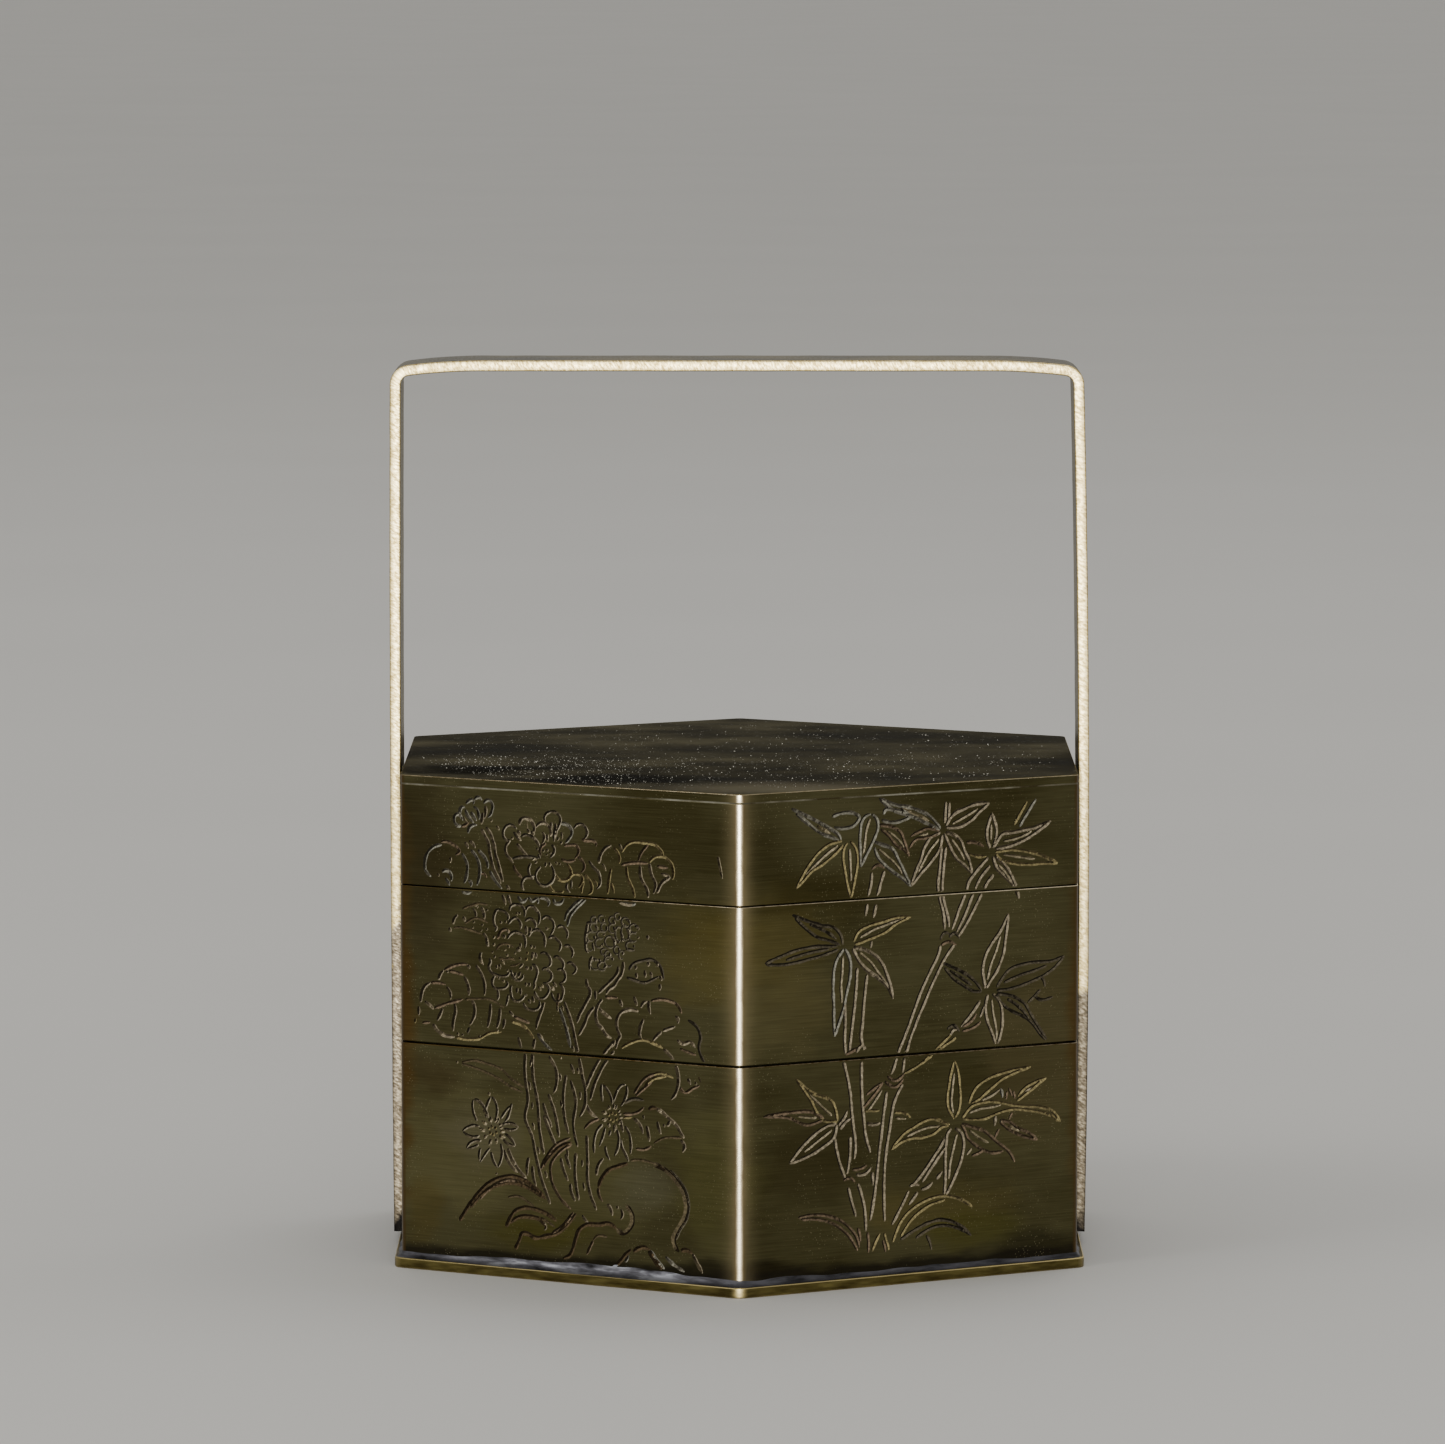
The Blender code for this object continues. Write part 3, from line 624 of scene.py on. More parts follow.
gardenTopLeaves = """
silver 2.9,38.9 2.85,39.6 2.95,40.3 3.3,40.9 3.7,41.25 4.2,41.5 4.8,41.6
silver 2.9,39.1 3.1,38.8 3.55,38.45
brown 4.7,41.9 5.4,41.95 6,41.75 6.5,41.5 6.8,41.1 6.3,40.7
hair 5.8,40.5 5.75,39.9
silver 7.1,40.9 7.45,40.4 7.7,39.8 7.65,39.1 7.5,38.4 7.3,38
silver 8.1,41.3 8.7,40.7 9,40.1 9.1,39.3 8.95,38.4 8.75,37.9
silver 8.9,41.35 9.55,40.8 9.9,40.3 10.05,39.6
brown 9,39 9.5,39.1 9.9,38.7
cream 7.4,42 7.65,41.8 7.8,41.4
cream 7.9,42.15 8.3,41.95 8.6,41.5
hair 4.3,38.8 4.5,38.5
silver 4.8,38.95 5.1,39.15 5.6,39.05 5.9,38.6 5.85,38.1
silver 5.2,38.4 5.5,38 5.7,37.65
silver 7.8,38.3 8.1,38.15 8.1,37.7
silver 7,37.3 7.6,37.1 8.2,37.3
cream 22.5,40.8 22.7,41.6 23.2,42.3 23.9,42.6
gold 24.2,42.4 24.8,41.6 24.8,40.9
hair 24.8,42.8 25.1,42.2
gold 25,42 25.8,42.9 27.5,43.1 28.8,42.9 29.5,42.3 29.7,41.9
brown 28,42.9 27.2,42 26.9,41.2
gold 28.1,41.2 28.6,41.7 29.8,41.8 30.6,41.2 30.8,40.4 30.7,39.7
cream 28.1,41.1 28.4,40 28.8,39.3 28.6,38.2
cream 29,38.3 29.6,39.4 30.3,39.9 29.4,40.2
brown 29,40.9 30.2,40.8
brown 25,40.8 26.5,41.1 28,41.1
gold 25.6,40.7 25.7,39.7 26.3,38.5 26.5,37.7
cream 27.1,40.9 27.2,39.7 27.9,38.5 28,37.8
gold 23.9,40.4 23.6,39 23.5,37.9
gold 23.9,39 24.2,38
hair 22.9,40.8 23.3,40.1
silver 24.4,37.4 25.5,37.1 26.5,37.2 26.7,37.7
hair 35.7,42.2 36.2,40.1
"""
topChrysanthemum = """
petal 16.5,44.5 16.4,44.9 16.6,45.25 17,45.45 17.5,45.5 17.95,45.3 18.2,44.9 18.15,44.4 17.9,43.9 17.7,43.5
cream 17.2,44.5 17.15,43.7 17.25,43.2
cream 17.65,44.4 17.7,43.6 17.6,42.9
cream 13.6,44 13.65,44.35 13.9,44.65 14.4,44.7 14.9,44.5 15.2,44.1 15.3,43.7 15.2,43.3
cream 14.5,43.7 14.8,43.25
cream 14.95,43.5 15.25,43.1
petal 12.6,42.4 12.1,42.5 11.8,42.8 11.75,43.2 11.95,43.65 12.4,43.95 12.9,43.9 13.3,43.6
cream 13.4,43.5 13.7,43
cream 13,43.3 13.4,42.9 13.8,42.5
cream 15.4,43.9 15.8,44.25 16.3,44.35 16.8,44.15 17.1,43.7 17.1,43.1
cream 16.3,43.4 16.5,42.7
hair 16.7,43.1 16.8,42.6
silver 18.2,44.4 18.65,44.4 19.1,44.25 19.45,43.85 19.45,43.4 19.1,42.9 18.75,42.5
hair 18.3,43.6 18.4,42.9
petal 19.7,44 20.1,44.4 20.6,44.45 21,44.2 21.2,43.8 21.1,43.3 20.8,43
brown 20.6,43 21.2,42.95 21.8,42.95 22.2,42.7 22.2,42.4
petal 13.8,42.9 14.2,43.1 14.7,43.05 15.5,42.6 15.8,42.1 15.9,41.8
cream 13.3,42.2 13.8,41.7 14.3,41.2 14.6,41
cream 12.5,42.35 12.1,42 12,41.5 12.2,41 12.6,40.65 12.9,40.3
brown 12.9,40.1 13.1,39.6 13.4,39.3 13.9,38.9
dark 12.8,40.7 13.6,40.9 14.6,41 15.8,40.9
brown 18.6,42.3 19.3,42.4 19.9,42.4 20.25,42 20.15,41.5 19.8,41.1
brown 18.3,41 19,40.8 19.9,41
brown 20.1,41.3 20.6,41 20.85,40.6 20.8,40.1 20.5,39.8
gold 17.6,39.5 18,39 18.5,38.9 19.1,39.1 19.4,39.5 19.3,40.1 18.9,40.6
petal 16,40.1 15.6,39.7 15.4,39.2 15.5,38.8 15.9,38.4 16.5,38.3 17.1,38.6 17.45,39.1 17.5,39.6 17.3,40.1
  17.1,40.4
petal 15.2,38.9 14.7,39 14.2,38.9 13.9,38.5 13.9,38 14.1,37.7
petal 14.9,40.4 14.6,39.8 14.8,39.2 15.3,39.2
gold 16.9,38.6 17.1,38.1 17.5,37.8 18.1,37.7 18.6,37.9
gold 19.2,39.3 19.7,39.6 20.3,39.6 20.7,39.3 20.6,38.8 20.2,38.3
gold 20.8,39.6 21.2,39.4 21.6,38.9 21.75,38.4 21.6,37.9 21.3,37.75
petal 21.4,41 21.9,40.4 22.4,40 22.65,39.4 22.6,38.7 22.2,38.3
gold 21.9,39.2 22.2,38.9 22.3,38.5
gold 20.6,39.3 20.75,38.8 20.6,38.3 20.6,37.8
petal 19,38.7 18.9,38.2 19.3,37.8
petal 19.45,39 19.4,38.2
petal 17.2,44.4 17.15,44
petal 17.65,44.4 17.6,43.8 17.5,43.3 17.5,42.6
hair 14.5,43.7 14.7,43.2
hair 15,43.5 15.3,43.2
petal 12.9,43.3 13.3,42.9 13.7,42.5
hair 12.7,42.8 12.9,42.6
hair 16.2,43.5 16.4,43 16.3,42.6 16.1,42.3
hair 16.75,43.3 16.75,42.8
hair 18,43.1 17.9,42.7
hair 18.4,42.7 18.2,42.4
petal 17.2,42.3 17.5,42 17.5,41.6 17.2,41.2 17,41
brown 16.6,42.4 16.1,42.1 15.9,41.6 16.1,41.2
petal 15.5,41.9 15.7,41.7
petal 15.7,41.3 15.95,40.9
hair 16.3,41.8 16.3,41.5
hair 16.7,41.9 16.75,41.6
hair 16.65,41.4 16.7,41.2
hair 17,41.6 17.15,41.4
hair 16.6,40.6 16.5,40.1
hair 17,40.6 17.05,40.2
hair 17.7,40.7 17.8,40.4
hair 18.1,40.6 18.2,40.4
hair 15.4,40.9 15,40.7
hair 15.6,40.6 15.3,40.4
silver 13.4,37.1 13.9,36.6 14.5,37
silver 14.6,37.1 15,36.7 15.6,37 15.7,36.5
silver 15.8,37.1 16.4,37.1 16.9,36.8 16.8,36.3
silver 17.4,37.1 17.6,36.7 18.2,36.7 18.6,37.2
"""
middleChrysanthemum = """
petal 12.45,35.6 12.6,36.1 13.2,36.3 13.8,36.2 14.15,35.8 14.15,35.1
petal 14.3,35.7 14.5,36.1 15,36.2 15.5,35.9 15.8,35.5 15.85,35 15.65,34.4
petal 16.1,35 16.5,35.3 17,35.2 17.35,34.9 17.5,34.4 17.35,34 17,33.5
petal 17.8,34.3 18.2,34.5 18.6,34.4 18.9,34.1 19,33.7 18.9,33.3
petal 12.2,34.7 12.35,35.1 12.1,35.4 11.6,35.6 11,35.6 10.75,35.2 10.65,34.6 10.8,34.1 10.95,33.9 10.8,33.5
petal 12.3,34.3 12.7,34.8 13.2,35 13.5,34.8 13.7,34.5 13.65,33.9
petal 14.2,34.7 14.7,35 15.1,34.9 15.4,34.6 15.35,34.1
petal 12.2,32.9 12.6,33.4 13,33.6 13.6,33.55 14.1,33.3 14.25,32.8 14.2,32.1
petal 14.6,33.2 15,33.8 15.6,34 16.1,33.8 16.4,33.4 16.45,32.9 16.4,32.3
petal 16.8,33.2 17.4,33.4 17.9,33.1 18.2,32.8 18.15,32.3 18,32
petal 18.6,32.6 19.2,32.6 19.5,32.3 19.6,31.9 19.4,31.5
petal 15.9,31.7 16.4,31.8 16.8,31.6 17.05,31.2 17,30.6 16.7,30.4
petal 17.4,31.4 17.8,31.5 18.2,31.3 18.5,31 18.45,30.4 18.2,30.2
petal 18.9,30.9 19.4,31 19.7,30.8 19.95,30.5 19.8,30.1 19.5,29.9
petal 15,30.6 15.4,30.4 15.6,29.9 15.45,29.3 15.1,28.5
petal 16.1,30.1 16.5,30.3 16.9,30.1 17.2,29.8 17.2,29.4 17,29.1 16.6,28.9
petal 17.8,30.2 18.2,30.3 18.5,30.2 18.7,29.9 18.75,29.5 18.5,29.1 18.1,29
petal 17.2,28 17.3,27.6 17.7,27.2 18.2,27.3 18.4,27.7 18.5,28.2 18.4,28.6 18,28.9
petal 15.3,28 15.4,27.6 15.8,27.3 16.3,27.4 16.7,27.8 16.9,28.3 16.7,28.7 16.2,28.9
petal 14,26.8 14.2,26.4 14.6,26.2 15.1,26.15 15.6,26.3 15.85,26.7 15.8,27.1
petal 12.7,28.4 12.6,28.2 12.6,27.6 12.8,27.1 13.3,26.9 13.8,27.1 14.2,27.6
petal 10.8,29.2 10.5,28.8 10.5,28.3 10.8,28 11.4,28 12,28.15 12.25,28.5 12.1,28.8
petal 11.1,27.9 11.15,27.3 11.05,26.8
petal 12.3,27.5 12.2,26.9 12,26.3
petal 9.3,31.4 9.1,31 9.15,30.6 9.5,30.2
petal 10.2,30.9 10.3,30.5 10.1,30.1 10.3,29.6 10.8,29.3 11.5,29.2 12.1,29.3 12.5,29.7
petal 12.6,29.9 12.9,29.2 13.4,28.9 13.9,29.2 14,29.6
petal 9.8,32.6 9.9,32.3 10,32
brown 11.1,32.8 11.6,33.7 12.2,33.8 12.5,33.5
faint 10.9,31.7 11.3,32.2 12.2,32.4 12.9,32.1
faint 11.2,31 11.8,30.9 12.6,31 13.1,30.8
faint 12.5,30.3 13.2,30.4 13.7,30.7
hair 13.25,35.55 13.35,35.25
hair 13.6,35.6 13.6,35.3
hair 11.5,34.6 11.45,34.3
hair 12,34.7 12,34.4
cream 14.3,34.3 14.4,33.4
cream 14.85,34.2 14.7,33.6
hair 16.7,34.3 16.6,34
cream 14.4,30.4 14.45,30
cream 14.9,30.4 14.95,30
cream 13.4,32.2 13.7,31.8
hair 13.7,32.6 13.7,32.1
hair 14.9,32.5 14.9,32.1
hair 15.3,32.4 15.3,32.1
hair 13,31.6 13.2,31.5
hair 13.6,31.2 13.7,30.9
hair 14,30.6 13.5,30.1
cream 15.4,31.75 15.45,31.2
cream 13.2,32 13.6,31.8
hair 15,31.5 15,31
gold 14.45,31.8 14.5,31.5
gold 14.4,31.2 14.3,30.9
cream 13.15,29.7 13,29.2
cream 13.7,29.8 13.4,29.2
hair 15.3,29 15.3,28.5 15.1,28.1
hair 14.3,28.8 14.3,28.4
hair 14.7,28.8 14.7,28.4
cream 17.3,29 17.8,28.6
cream 17.1,28.6 17.5,28.2
hair 15.7,28.5 16,28.1
hair 16,28.7 16.3,28.4
cream 14.6,27.2 14.8,26.8
cream 15,27.5 15.2,26.9
cream 13.3,28.2 13.3,27.7
cream 13.7,28.2 13.75,27.5
hair 14.3,27.7 14.3,27.4
hair 11,30.3 11,29.9
hair 11.3,30.4 11.4,29.9
hair 11.5,30.8 11.9,30.4
hair 12.15,29.9 12.3,29.7
hair 11.2,29.1 11.3,28.9
hair 11.7,28.9 11.8,28.6
hair 10.8,33.1 10.6,32.8
hair 10.6,32.4 10.75,32.1
hair 10.5,31.6 10.6,31.4
hair 10.8,31.2 10.7,30.9
cream 11.8,33.3 11.9,32.9
cream 12.1,33.85 12.4,33.45
cream 15.05,31.8 15.15,31.4
cream 15.2,34.85 15.4,34.5 15.4,34.15
hair 12.3,32.3 12.4,32
hair 11.9,31.9 12,31.7
hair 12.1,31.4 12.3,31.2
hair 16.4,27 16.2,26.5 15.9,25.6
hair 17.8,26.7 17.9,26.2
hair 18.3,26.8 18.5,26.3
"""
gardenMiddle = """
cream 5.6,33.6 5.8,33.2
cream 6.05,33.95 6.2,34.5 6.6,34.9
faint 7.1,35.5 8.1,35.9 9.2,36.15 10,36.05
cream 8.3,35.6 8.6,35.25 8.65,34.75
hair 8.75,35.85 8.9,35.7
cream 9.25,35.8 9.55,35.25 9.6,34.6
hair 9.9,35.65 9.95,35.45
cream 7.2,34.75 7.45,34.3
hair 8.35,34.4 8.45,34.2
hair 8.25,33.85 8.35,33.65
hair 9.35,34.2 9.4,33.95
hair 9.85,33.8 9.9,33.55
hair 9.2,33.6 9.35,33.45
faint 7.4,34.1 8.6,34.7 10,34.3
faint 6.1,33.6 6.9,33.7 7.6,33.6 8.6,33.4 9.3,33.2
cream 9.5,33.3 9.8,32.9 9.95,32.4 10.1,32
cream 2.35,26.1 2.4,26.7 2.75,27.6 3.5,28.1
brown 3.5,28.1 4.2,28.15 5.2,28
cream 5.3,27.8 5.7,27.2 5.75,26.6
cream 4.4,28.4 4.5,28.8 5,29.4
brown 5,29.4 5.8,29.8 6.8,30.1 7.7,30.1
cream 5.3,29.2 5.5,29.35
brown 5.6,29.35 6.2,29.3 7.2,29.05
cream 7.3,28.9 7.5,28.6 7.8,27.9 7.8,27.1
cream 7.75,30.1 7.9,29.7
cream 8.65,30.1 9.2,29.4 9.6,28.5 9.6,27.2
cream 9.2,31.4 9.1,30.8 9.5,30.2
brown 3.9,25.65 5.8,26.3 7.2,26.7
faint 7.4,26.7 8.7,26.85 10.1,26.9 11.8,26.2
cream 2.8,26.2 3.6,25.7 3.8,25.5
cream 2.1,25.7 2.1,24.8
gold 1.75,24.5 1.65,24
brown 2.5,24.1 3.4,24.2
cream 3.7,24.05 4.2,23.5 4.9,23.1 6.2,22.95
gold 6.3,22.95 8.1,22.85 9,23 10.1,23.6 11.5,23.8
cream 4.85,25.65 4.55,25 4.2,24.4
cream 6.2,26.2 6.3,25.4 6.1,24.7 6,24.1 6.05,23.5
cream 8.2,26.65 8.45,26.1 8.4,25.1 7.9,24.2
dark 7.9,24 7.65,23.4
cream 10.3,26.5 10.25,25.6 9.95,24.1
cream 11.35,26.1 11.3,25.3 11,24.1
cream 11.9,25.1 11.7,24.1
hair 11,23.95 11.1,23.8
hair 8.95,23.3 9.1,23.1
hair 6.5,23.4 6.65,23.1
hair 7.05,23.3 7.15,23.1
cream 12.4,25.9 12.9,25.4
petal 21.25,34.9 21.1,34.2 20.95,33.5 21,32.9 21.1,32.3 21.35,32.1
petal 22.2,35.5 22.15,35.1
petal 23,35.5 23.05,35.15
petal 24.05,35.45 24.35,35.05
petal 24.8,35.85 24.85,35.5
petal 25.5,35.6 25.85,35.45 26,35.1
hair 25.1,35.2 25.2,35.05
petal 22.1,34.8 22.4,34.35
petal 23.35,34.8 23.4,34.35
petal 24.15,34.8 24.35,34.3
petal 25.55,34.8 25.85,34.3 25.85,33.9 25.7,33.6
hair 26.85,34.8 26.95,34.6
hair 26.85,34 26.95,33.8
petal 24.9,34.4 25.1,33.9 25.05,33.35
petal 22,33.8 22.05,33.4
hair 23.05,34.05 23.15,33.85
petal 23.85,33.85 24.2,33.5 24.3,33.2 24.15,32.85
petal 24.65,33.45 24.7,33.2
petal 21.8,33.1 21.85,32.65 22,32.3
petal 22.85,33.1 23,32.9
hair 22.65,32.9 22.75,32.75
petal 26.35,33.15 26.45,32.9
petal 24.7,32.8 24.85,32.3
petal 25.25,32.4 25.1,32.1
petal 23.75,32.25 23.7,31.8
petal 24,31.8 24.05,31.5
petal 21.8,31.8 21.5,31.3 21.45,30.9 21.5,30.4
petal 22,31.6 22.05,31.3
petal 22.5,31.6 22.65,31.3 22.5,31
petal 23.4,31.1 23,30.65
dark 21.1,34.95 22,35.05
dark 25.5,32.7 26.5,32.65
dark 26.5,35 27,34.9
cream 27.9,34.2 28,33.8
cream 24.65,31 24.6,30.5 24.3,30 23.6,29.3 22.9,28.7 22.4,28.2
cream 25.2,31.5 25.2,30.8 25,30.2 24.6,29.7 24.2,29.1 23.5,28.6 23.3,28.2
cream 21.1,29.6 21.2,28.9 21.5,28.5 21.5,28 21.2,27.5 20.8,26.8 20.3,26 20.05,25.2
cream 22.1,28.5 22.15,27.6
cream 22,26.9 21.3,26.1 20.9,25.2 20.2,24
dark 25.85,30.7 26.3,31.3 27.3,31.7 28.5,31.85 29.3,31.3 29.7,30
dark 25.6,30 26.6,29.75 27.6,29.6 28.6,30 29.2,30.3
cream 26.65,31.2 26.6,30.8
cream 26.65,30.5 26.7,29.95
cream 27.6,30.8 27.7,30.1
cream 28.25,30.7 28.4,30.1
cream 28,31.65 28,31.2
cream 28.9,31.45 29.1,31.3
cream 29.45,30.9 29.6,30.6
cream 29.3,30.4 29.5,29.9
cream 29.3,29.6 29.3,28.95
silver 20.7,37.35 19.6,36.5 18.9,35.7 18.7,35
silver 21.1,37.3 20,36.4 19.3,35.5 18.95,34.5
cream 24.5,37.4 24.9,37.2 26,37.05 26.5,37.2
brown 23.2,27.95 24.6,27.95
cream 24.8,27.8 25.1,27.1
cream 26.4,28.2 26.75,27.3
cream 28.1,27.9 28.05,27.3 28.25,26.6
cream 27.9,27.8 27.4,27.6 27.2,27.15
cream 22.9,27.7 22.4,27.1 22.15,26.3 22.3,25.4 22.9,24.8 23.3,24.3 23.9,24
cream 22.4,26.9 23,26.4 23.9,25.9
cream 26.9,26.8 25.8,26.9 24.9,26.5 24.45,25.6 24.6,24.8 24.85,24.3 24.55,23.7 24.4,23
cream 27.5,26.1 27.1,25.2 27.05,24.5 27.3,24.1
cream 29.5,25 28.7,24.3 28.5,24
gold 25,23.1 26,23.7 27.1,24.05 28.4,23.9 29.6,23.4
cream 24.3,23.85 23.9,23.1
brown 28.3,27.9 30,28.1 31.3,27.6 31.7,26.9
cream 31,26.6 31.3,26.3 31.3,25.9
dark 32.4,26.3 33.4,25.7 33.8,24.7 33.6,23.8 34.3,22.2
cream 29.6,25.1 31,25.6
cream 31.2,24.3 31.9,24 32.6,24.2 33.2,23.7
brown 31.5,23.5 32.5,23.2 33.3,23
cream 29.7,23.3 30.5,22.7 31,21.9 31.3,21 31.3,20 31,19.1 30.5,18.5
cream 24.3,23.8 22.9,22.3 21.8,20.6 20.9,18.7
cream 24.2,22.8 23,21.3 22,19.4 21.5,17.8
"""
gardenStems = """
cream 13.4,23.4 13.8,22.2
cream 14.2,21.9 14.2,19.5 14.5,17.5 14.2,15.5 14.9,14 15.5,11.5 16.2,9.3 17,7.4
cream 15.3,23.4 15,21.5 15.1,19.6 15.6,17.2 15.8,14.5 16.3,12.2
silver 15.6,23.9 16.6,22.8 17.3,22.3
cream 16.9,21.8 17.7,20.4 17.7,19 17.4,18.2
cream 16.8,18.1 17.4,16.7 18,14
silver 18,26.6 18.6,25.2 19.3,22.8
cream 18.6,27.2 19.4,25.3 20.1,22.5 20.6,20.3 21,18.2 20.9,17.2 20.3,16.1
cream 18.8,20.1 18.5,18 18.7,15.6 19.1,14.4
cream 19.3,21.2 19.7,20.3
cream 19.3,19.6 19.9,17.5 19.6,15.3 20.1,13.2
cream 21.1,14.4 21.2,12.3 21.3,9.4 22.2,7.2
cream 19.9,12.6 19.8,10.5 20.2,8
brown 12.9,25.4 13.6,25.2 14.7,24.85
gold 12.6,24.9 13.5,24.75 14.5,24.15 15.2,23.4
cream 15.7,23.9 16,23.5 16.4,23
brown 18,28 17.8,26.6
cream 16.35,27 15.95,25.9 15.6,25.1 15.45,24.3
hair 14.8,21.3 14.8,20.6
hair 14.6,19.2 14.8,18.4
hair 15,17.2 15,16.5
hair 15,15.2 15.2,14.5
hair 15.6,12.9 15.8,12.2
hair 16.4,10.6 16.6,9.9
hair 18.9,24.9 19,24.3
hair 19.5,23 19.7,22.4
hair 20.1,20.9 20.2,20.3
hair 20.4,18.6 20.4,17.8
hair 18.1,20.2 18.2,19.5
hair 18.2,17.6 18.3,16.9
hair 18.9,12.9 19,12.1
hair 20.6,12 20.6,11.3
hair 20.7,9.8 20.9,9
hair 17.9,22.2 18.3,21.6
cream 16.3,16 16.9,14.6 17.7,13
cream 16.2,17.2 16.8,15.6 17.2,14.9
cream 18.2,12 18.5,10.9 19,9.8
cream 18.7,12.4 19,11.7 19.3,11
cream 14.6,11.8 14.4,10.9 14.4,10
cream 15,11 15.1,9.9 15.4,9
cream 22.2,10.6 22.4,11.6 23,12.3
cream 19.3,9.6 19.4,8.7 19.8,7.9
hair 6.4,20.6 6.55,20.4
faint 7,20.5 8.2,20.8 9.9,20.6 11.4,20.2 12.6,19.3 14,18.6
faint 7,20.4 8.9,20 11,19.3 12.4,18.6 13.9,18.1
"""
gardenRock = """
deep 6.7,5 7.5,6.2 8.6,7.6 10,8.9 11.5,9.6 13,9.8 14.5,9.3 15.6,8.6 16.4,8
deep 7.9,6.4 9.5,8 11,8.8 13,9.2 15,8.6 16.5,7.9
brown 9,7.3 10.4,8.6 12.2,9.4 14,9.2
deep 12,4.8 12.4,5.6 13,6.4 13.9,6.8 15.2,6.8 16.4,6.5 17.7,5.8
deep 12.4,5.2 13.3,5.8 14.7,6 15.8,5.8 16.4,5.2
cream 16.2,5.6 16.5,5.1 16.3,4.8
faint 15.9,6 16.8,5.6 17.5,5.2
faint 12.2,7.7 13.4,7.9 14.5,7.4 15.2,7
brown 15.9,10.7 16.6,12 17.6,13.2 19.3,14
deep 16.1,10.9 16.9,12 18,13 19.4,13.6
brown 19.4,13.4 18,12.5 17,11 17.1,9.9 18,8.2 19.3,7.1
deep 25.7,12 24.8,11.7 23.4,11.1 22.7,10.2 22.4,9.4
brown 22.4,9.4 22.5,8.6 22.9,8.1
faint 26,12.3 27.2,12.45 28.6,12.2
turned 28.6,12.2 30,11.6 31.2,10.6 32,9.4 32.2,8.2 31.9,7 31.2,6 30.8,5 31,4.3 31.4,3.9
rim 30.4,11.7 31.5,10.8 32.3,9.6 32.52,8.2 32.2,6.9 31.5,5.9 31.1,5
deep 31.6,4 32.2,4.1 32.9,3.8
cream 32.9,3.8 33.5,2.8 34,2
cream 23.4,7.9 23.8,7.4 24,6.8
cream 24.9,7.5 25.1,7.1 24.9,6.5
hair 24.5,7.8 24.6,7.5
turned 25.5,7.9 26.1,7.2 26.2,6.4 25.8,5.6 25.2,5.2 24.4,5.6
deep 24.4,5.6 23.6,6 22.4,5.8 21,5.7 20.3,5.2 19.9,4.4 19.6,3.4 19.2,2.6 18.4,2.2
brown 20.2,5 19.8,4.2 19.5,3.2
cream 20.6,6.6 20.9,6.2 21.3,5.9
deep 13,2.7 13.5,3.6 13.8,4.3 14.5,4.3 15.2,4 16.4,4.2 17.7,4.6 18.9,5.6 19.9,6.7
brown 17.2,4.6 18.6,5.6 19.6,6.8
faint 23.4,4.7 22.1,4.6 21.8,4.2
brown 21.8,4.2 21.4,3.4 21.1,2.8
deep 24,1.8 24.8,2.4 25.5,3.2 26.1,3.7
silver 25.4,2.4 25.8,3.1
deep 26.3,3.5 27.6,4 28.2,3.8
silver 28.2,3.8 29,2.8 29.8,2.1
deep 28,3.7 28.8,2.7 29.5,2
silver 29.9,3.3 30.8,2.6 32,2
deep 28,17.4 28.5,17.6 29,17.5
cream 28.9,17.5 29.6,17.2 30.4,16.6 31.1,16.1 31.6,15.4 32,14.9
cream 31.6,14.7 32,14.2 31.8,13.5
faint 28.6,14.2 29.6,14.7 30.8,14.9 31.8,14.9
brown 26.6,13.5 27.6,13.5 28.3,13.9
cream 26.4,16.4 27.1,15.8 27.4,15
cream 27.8,15.8 28,15 28.1,14.3
hair 27.4,16.8 27.5,16.4
cream 29,16.3 29.2,15.6 29.4,15.1
cream 30.1,15.9 30.4,16.5
hair 29.7,16.1 29.8,15.8
brown 26.4,18.8 27,19.7 28,20.6 29,20.9
gold 28.6,20.8 29.4,21 30,20.9 30.8,20.6
brown 26.6,18.6 27.4,19.3 28.4,20.1
gold 27.6,19.6 28.4,20.3 29.2,20.6 30,20.7
brown 31.4,19.8 32,19.3 33,19.8 33.7,20.1
cream 32.4,20.7 32.7,20.1
hair 33.2,20.4 33.3,20.1
faint 33.6,20.9 33.8,20.4
"""
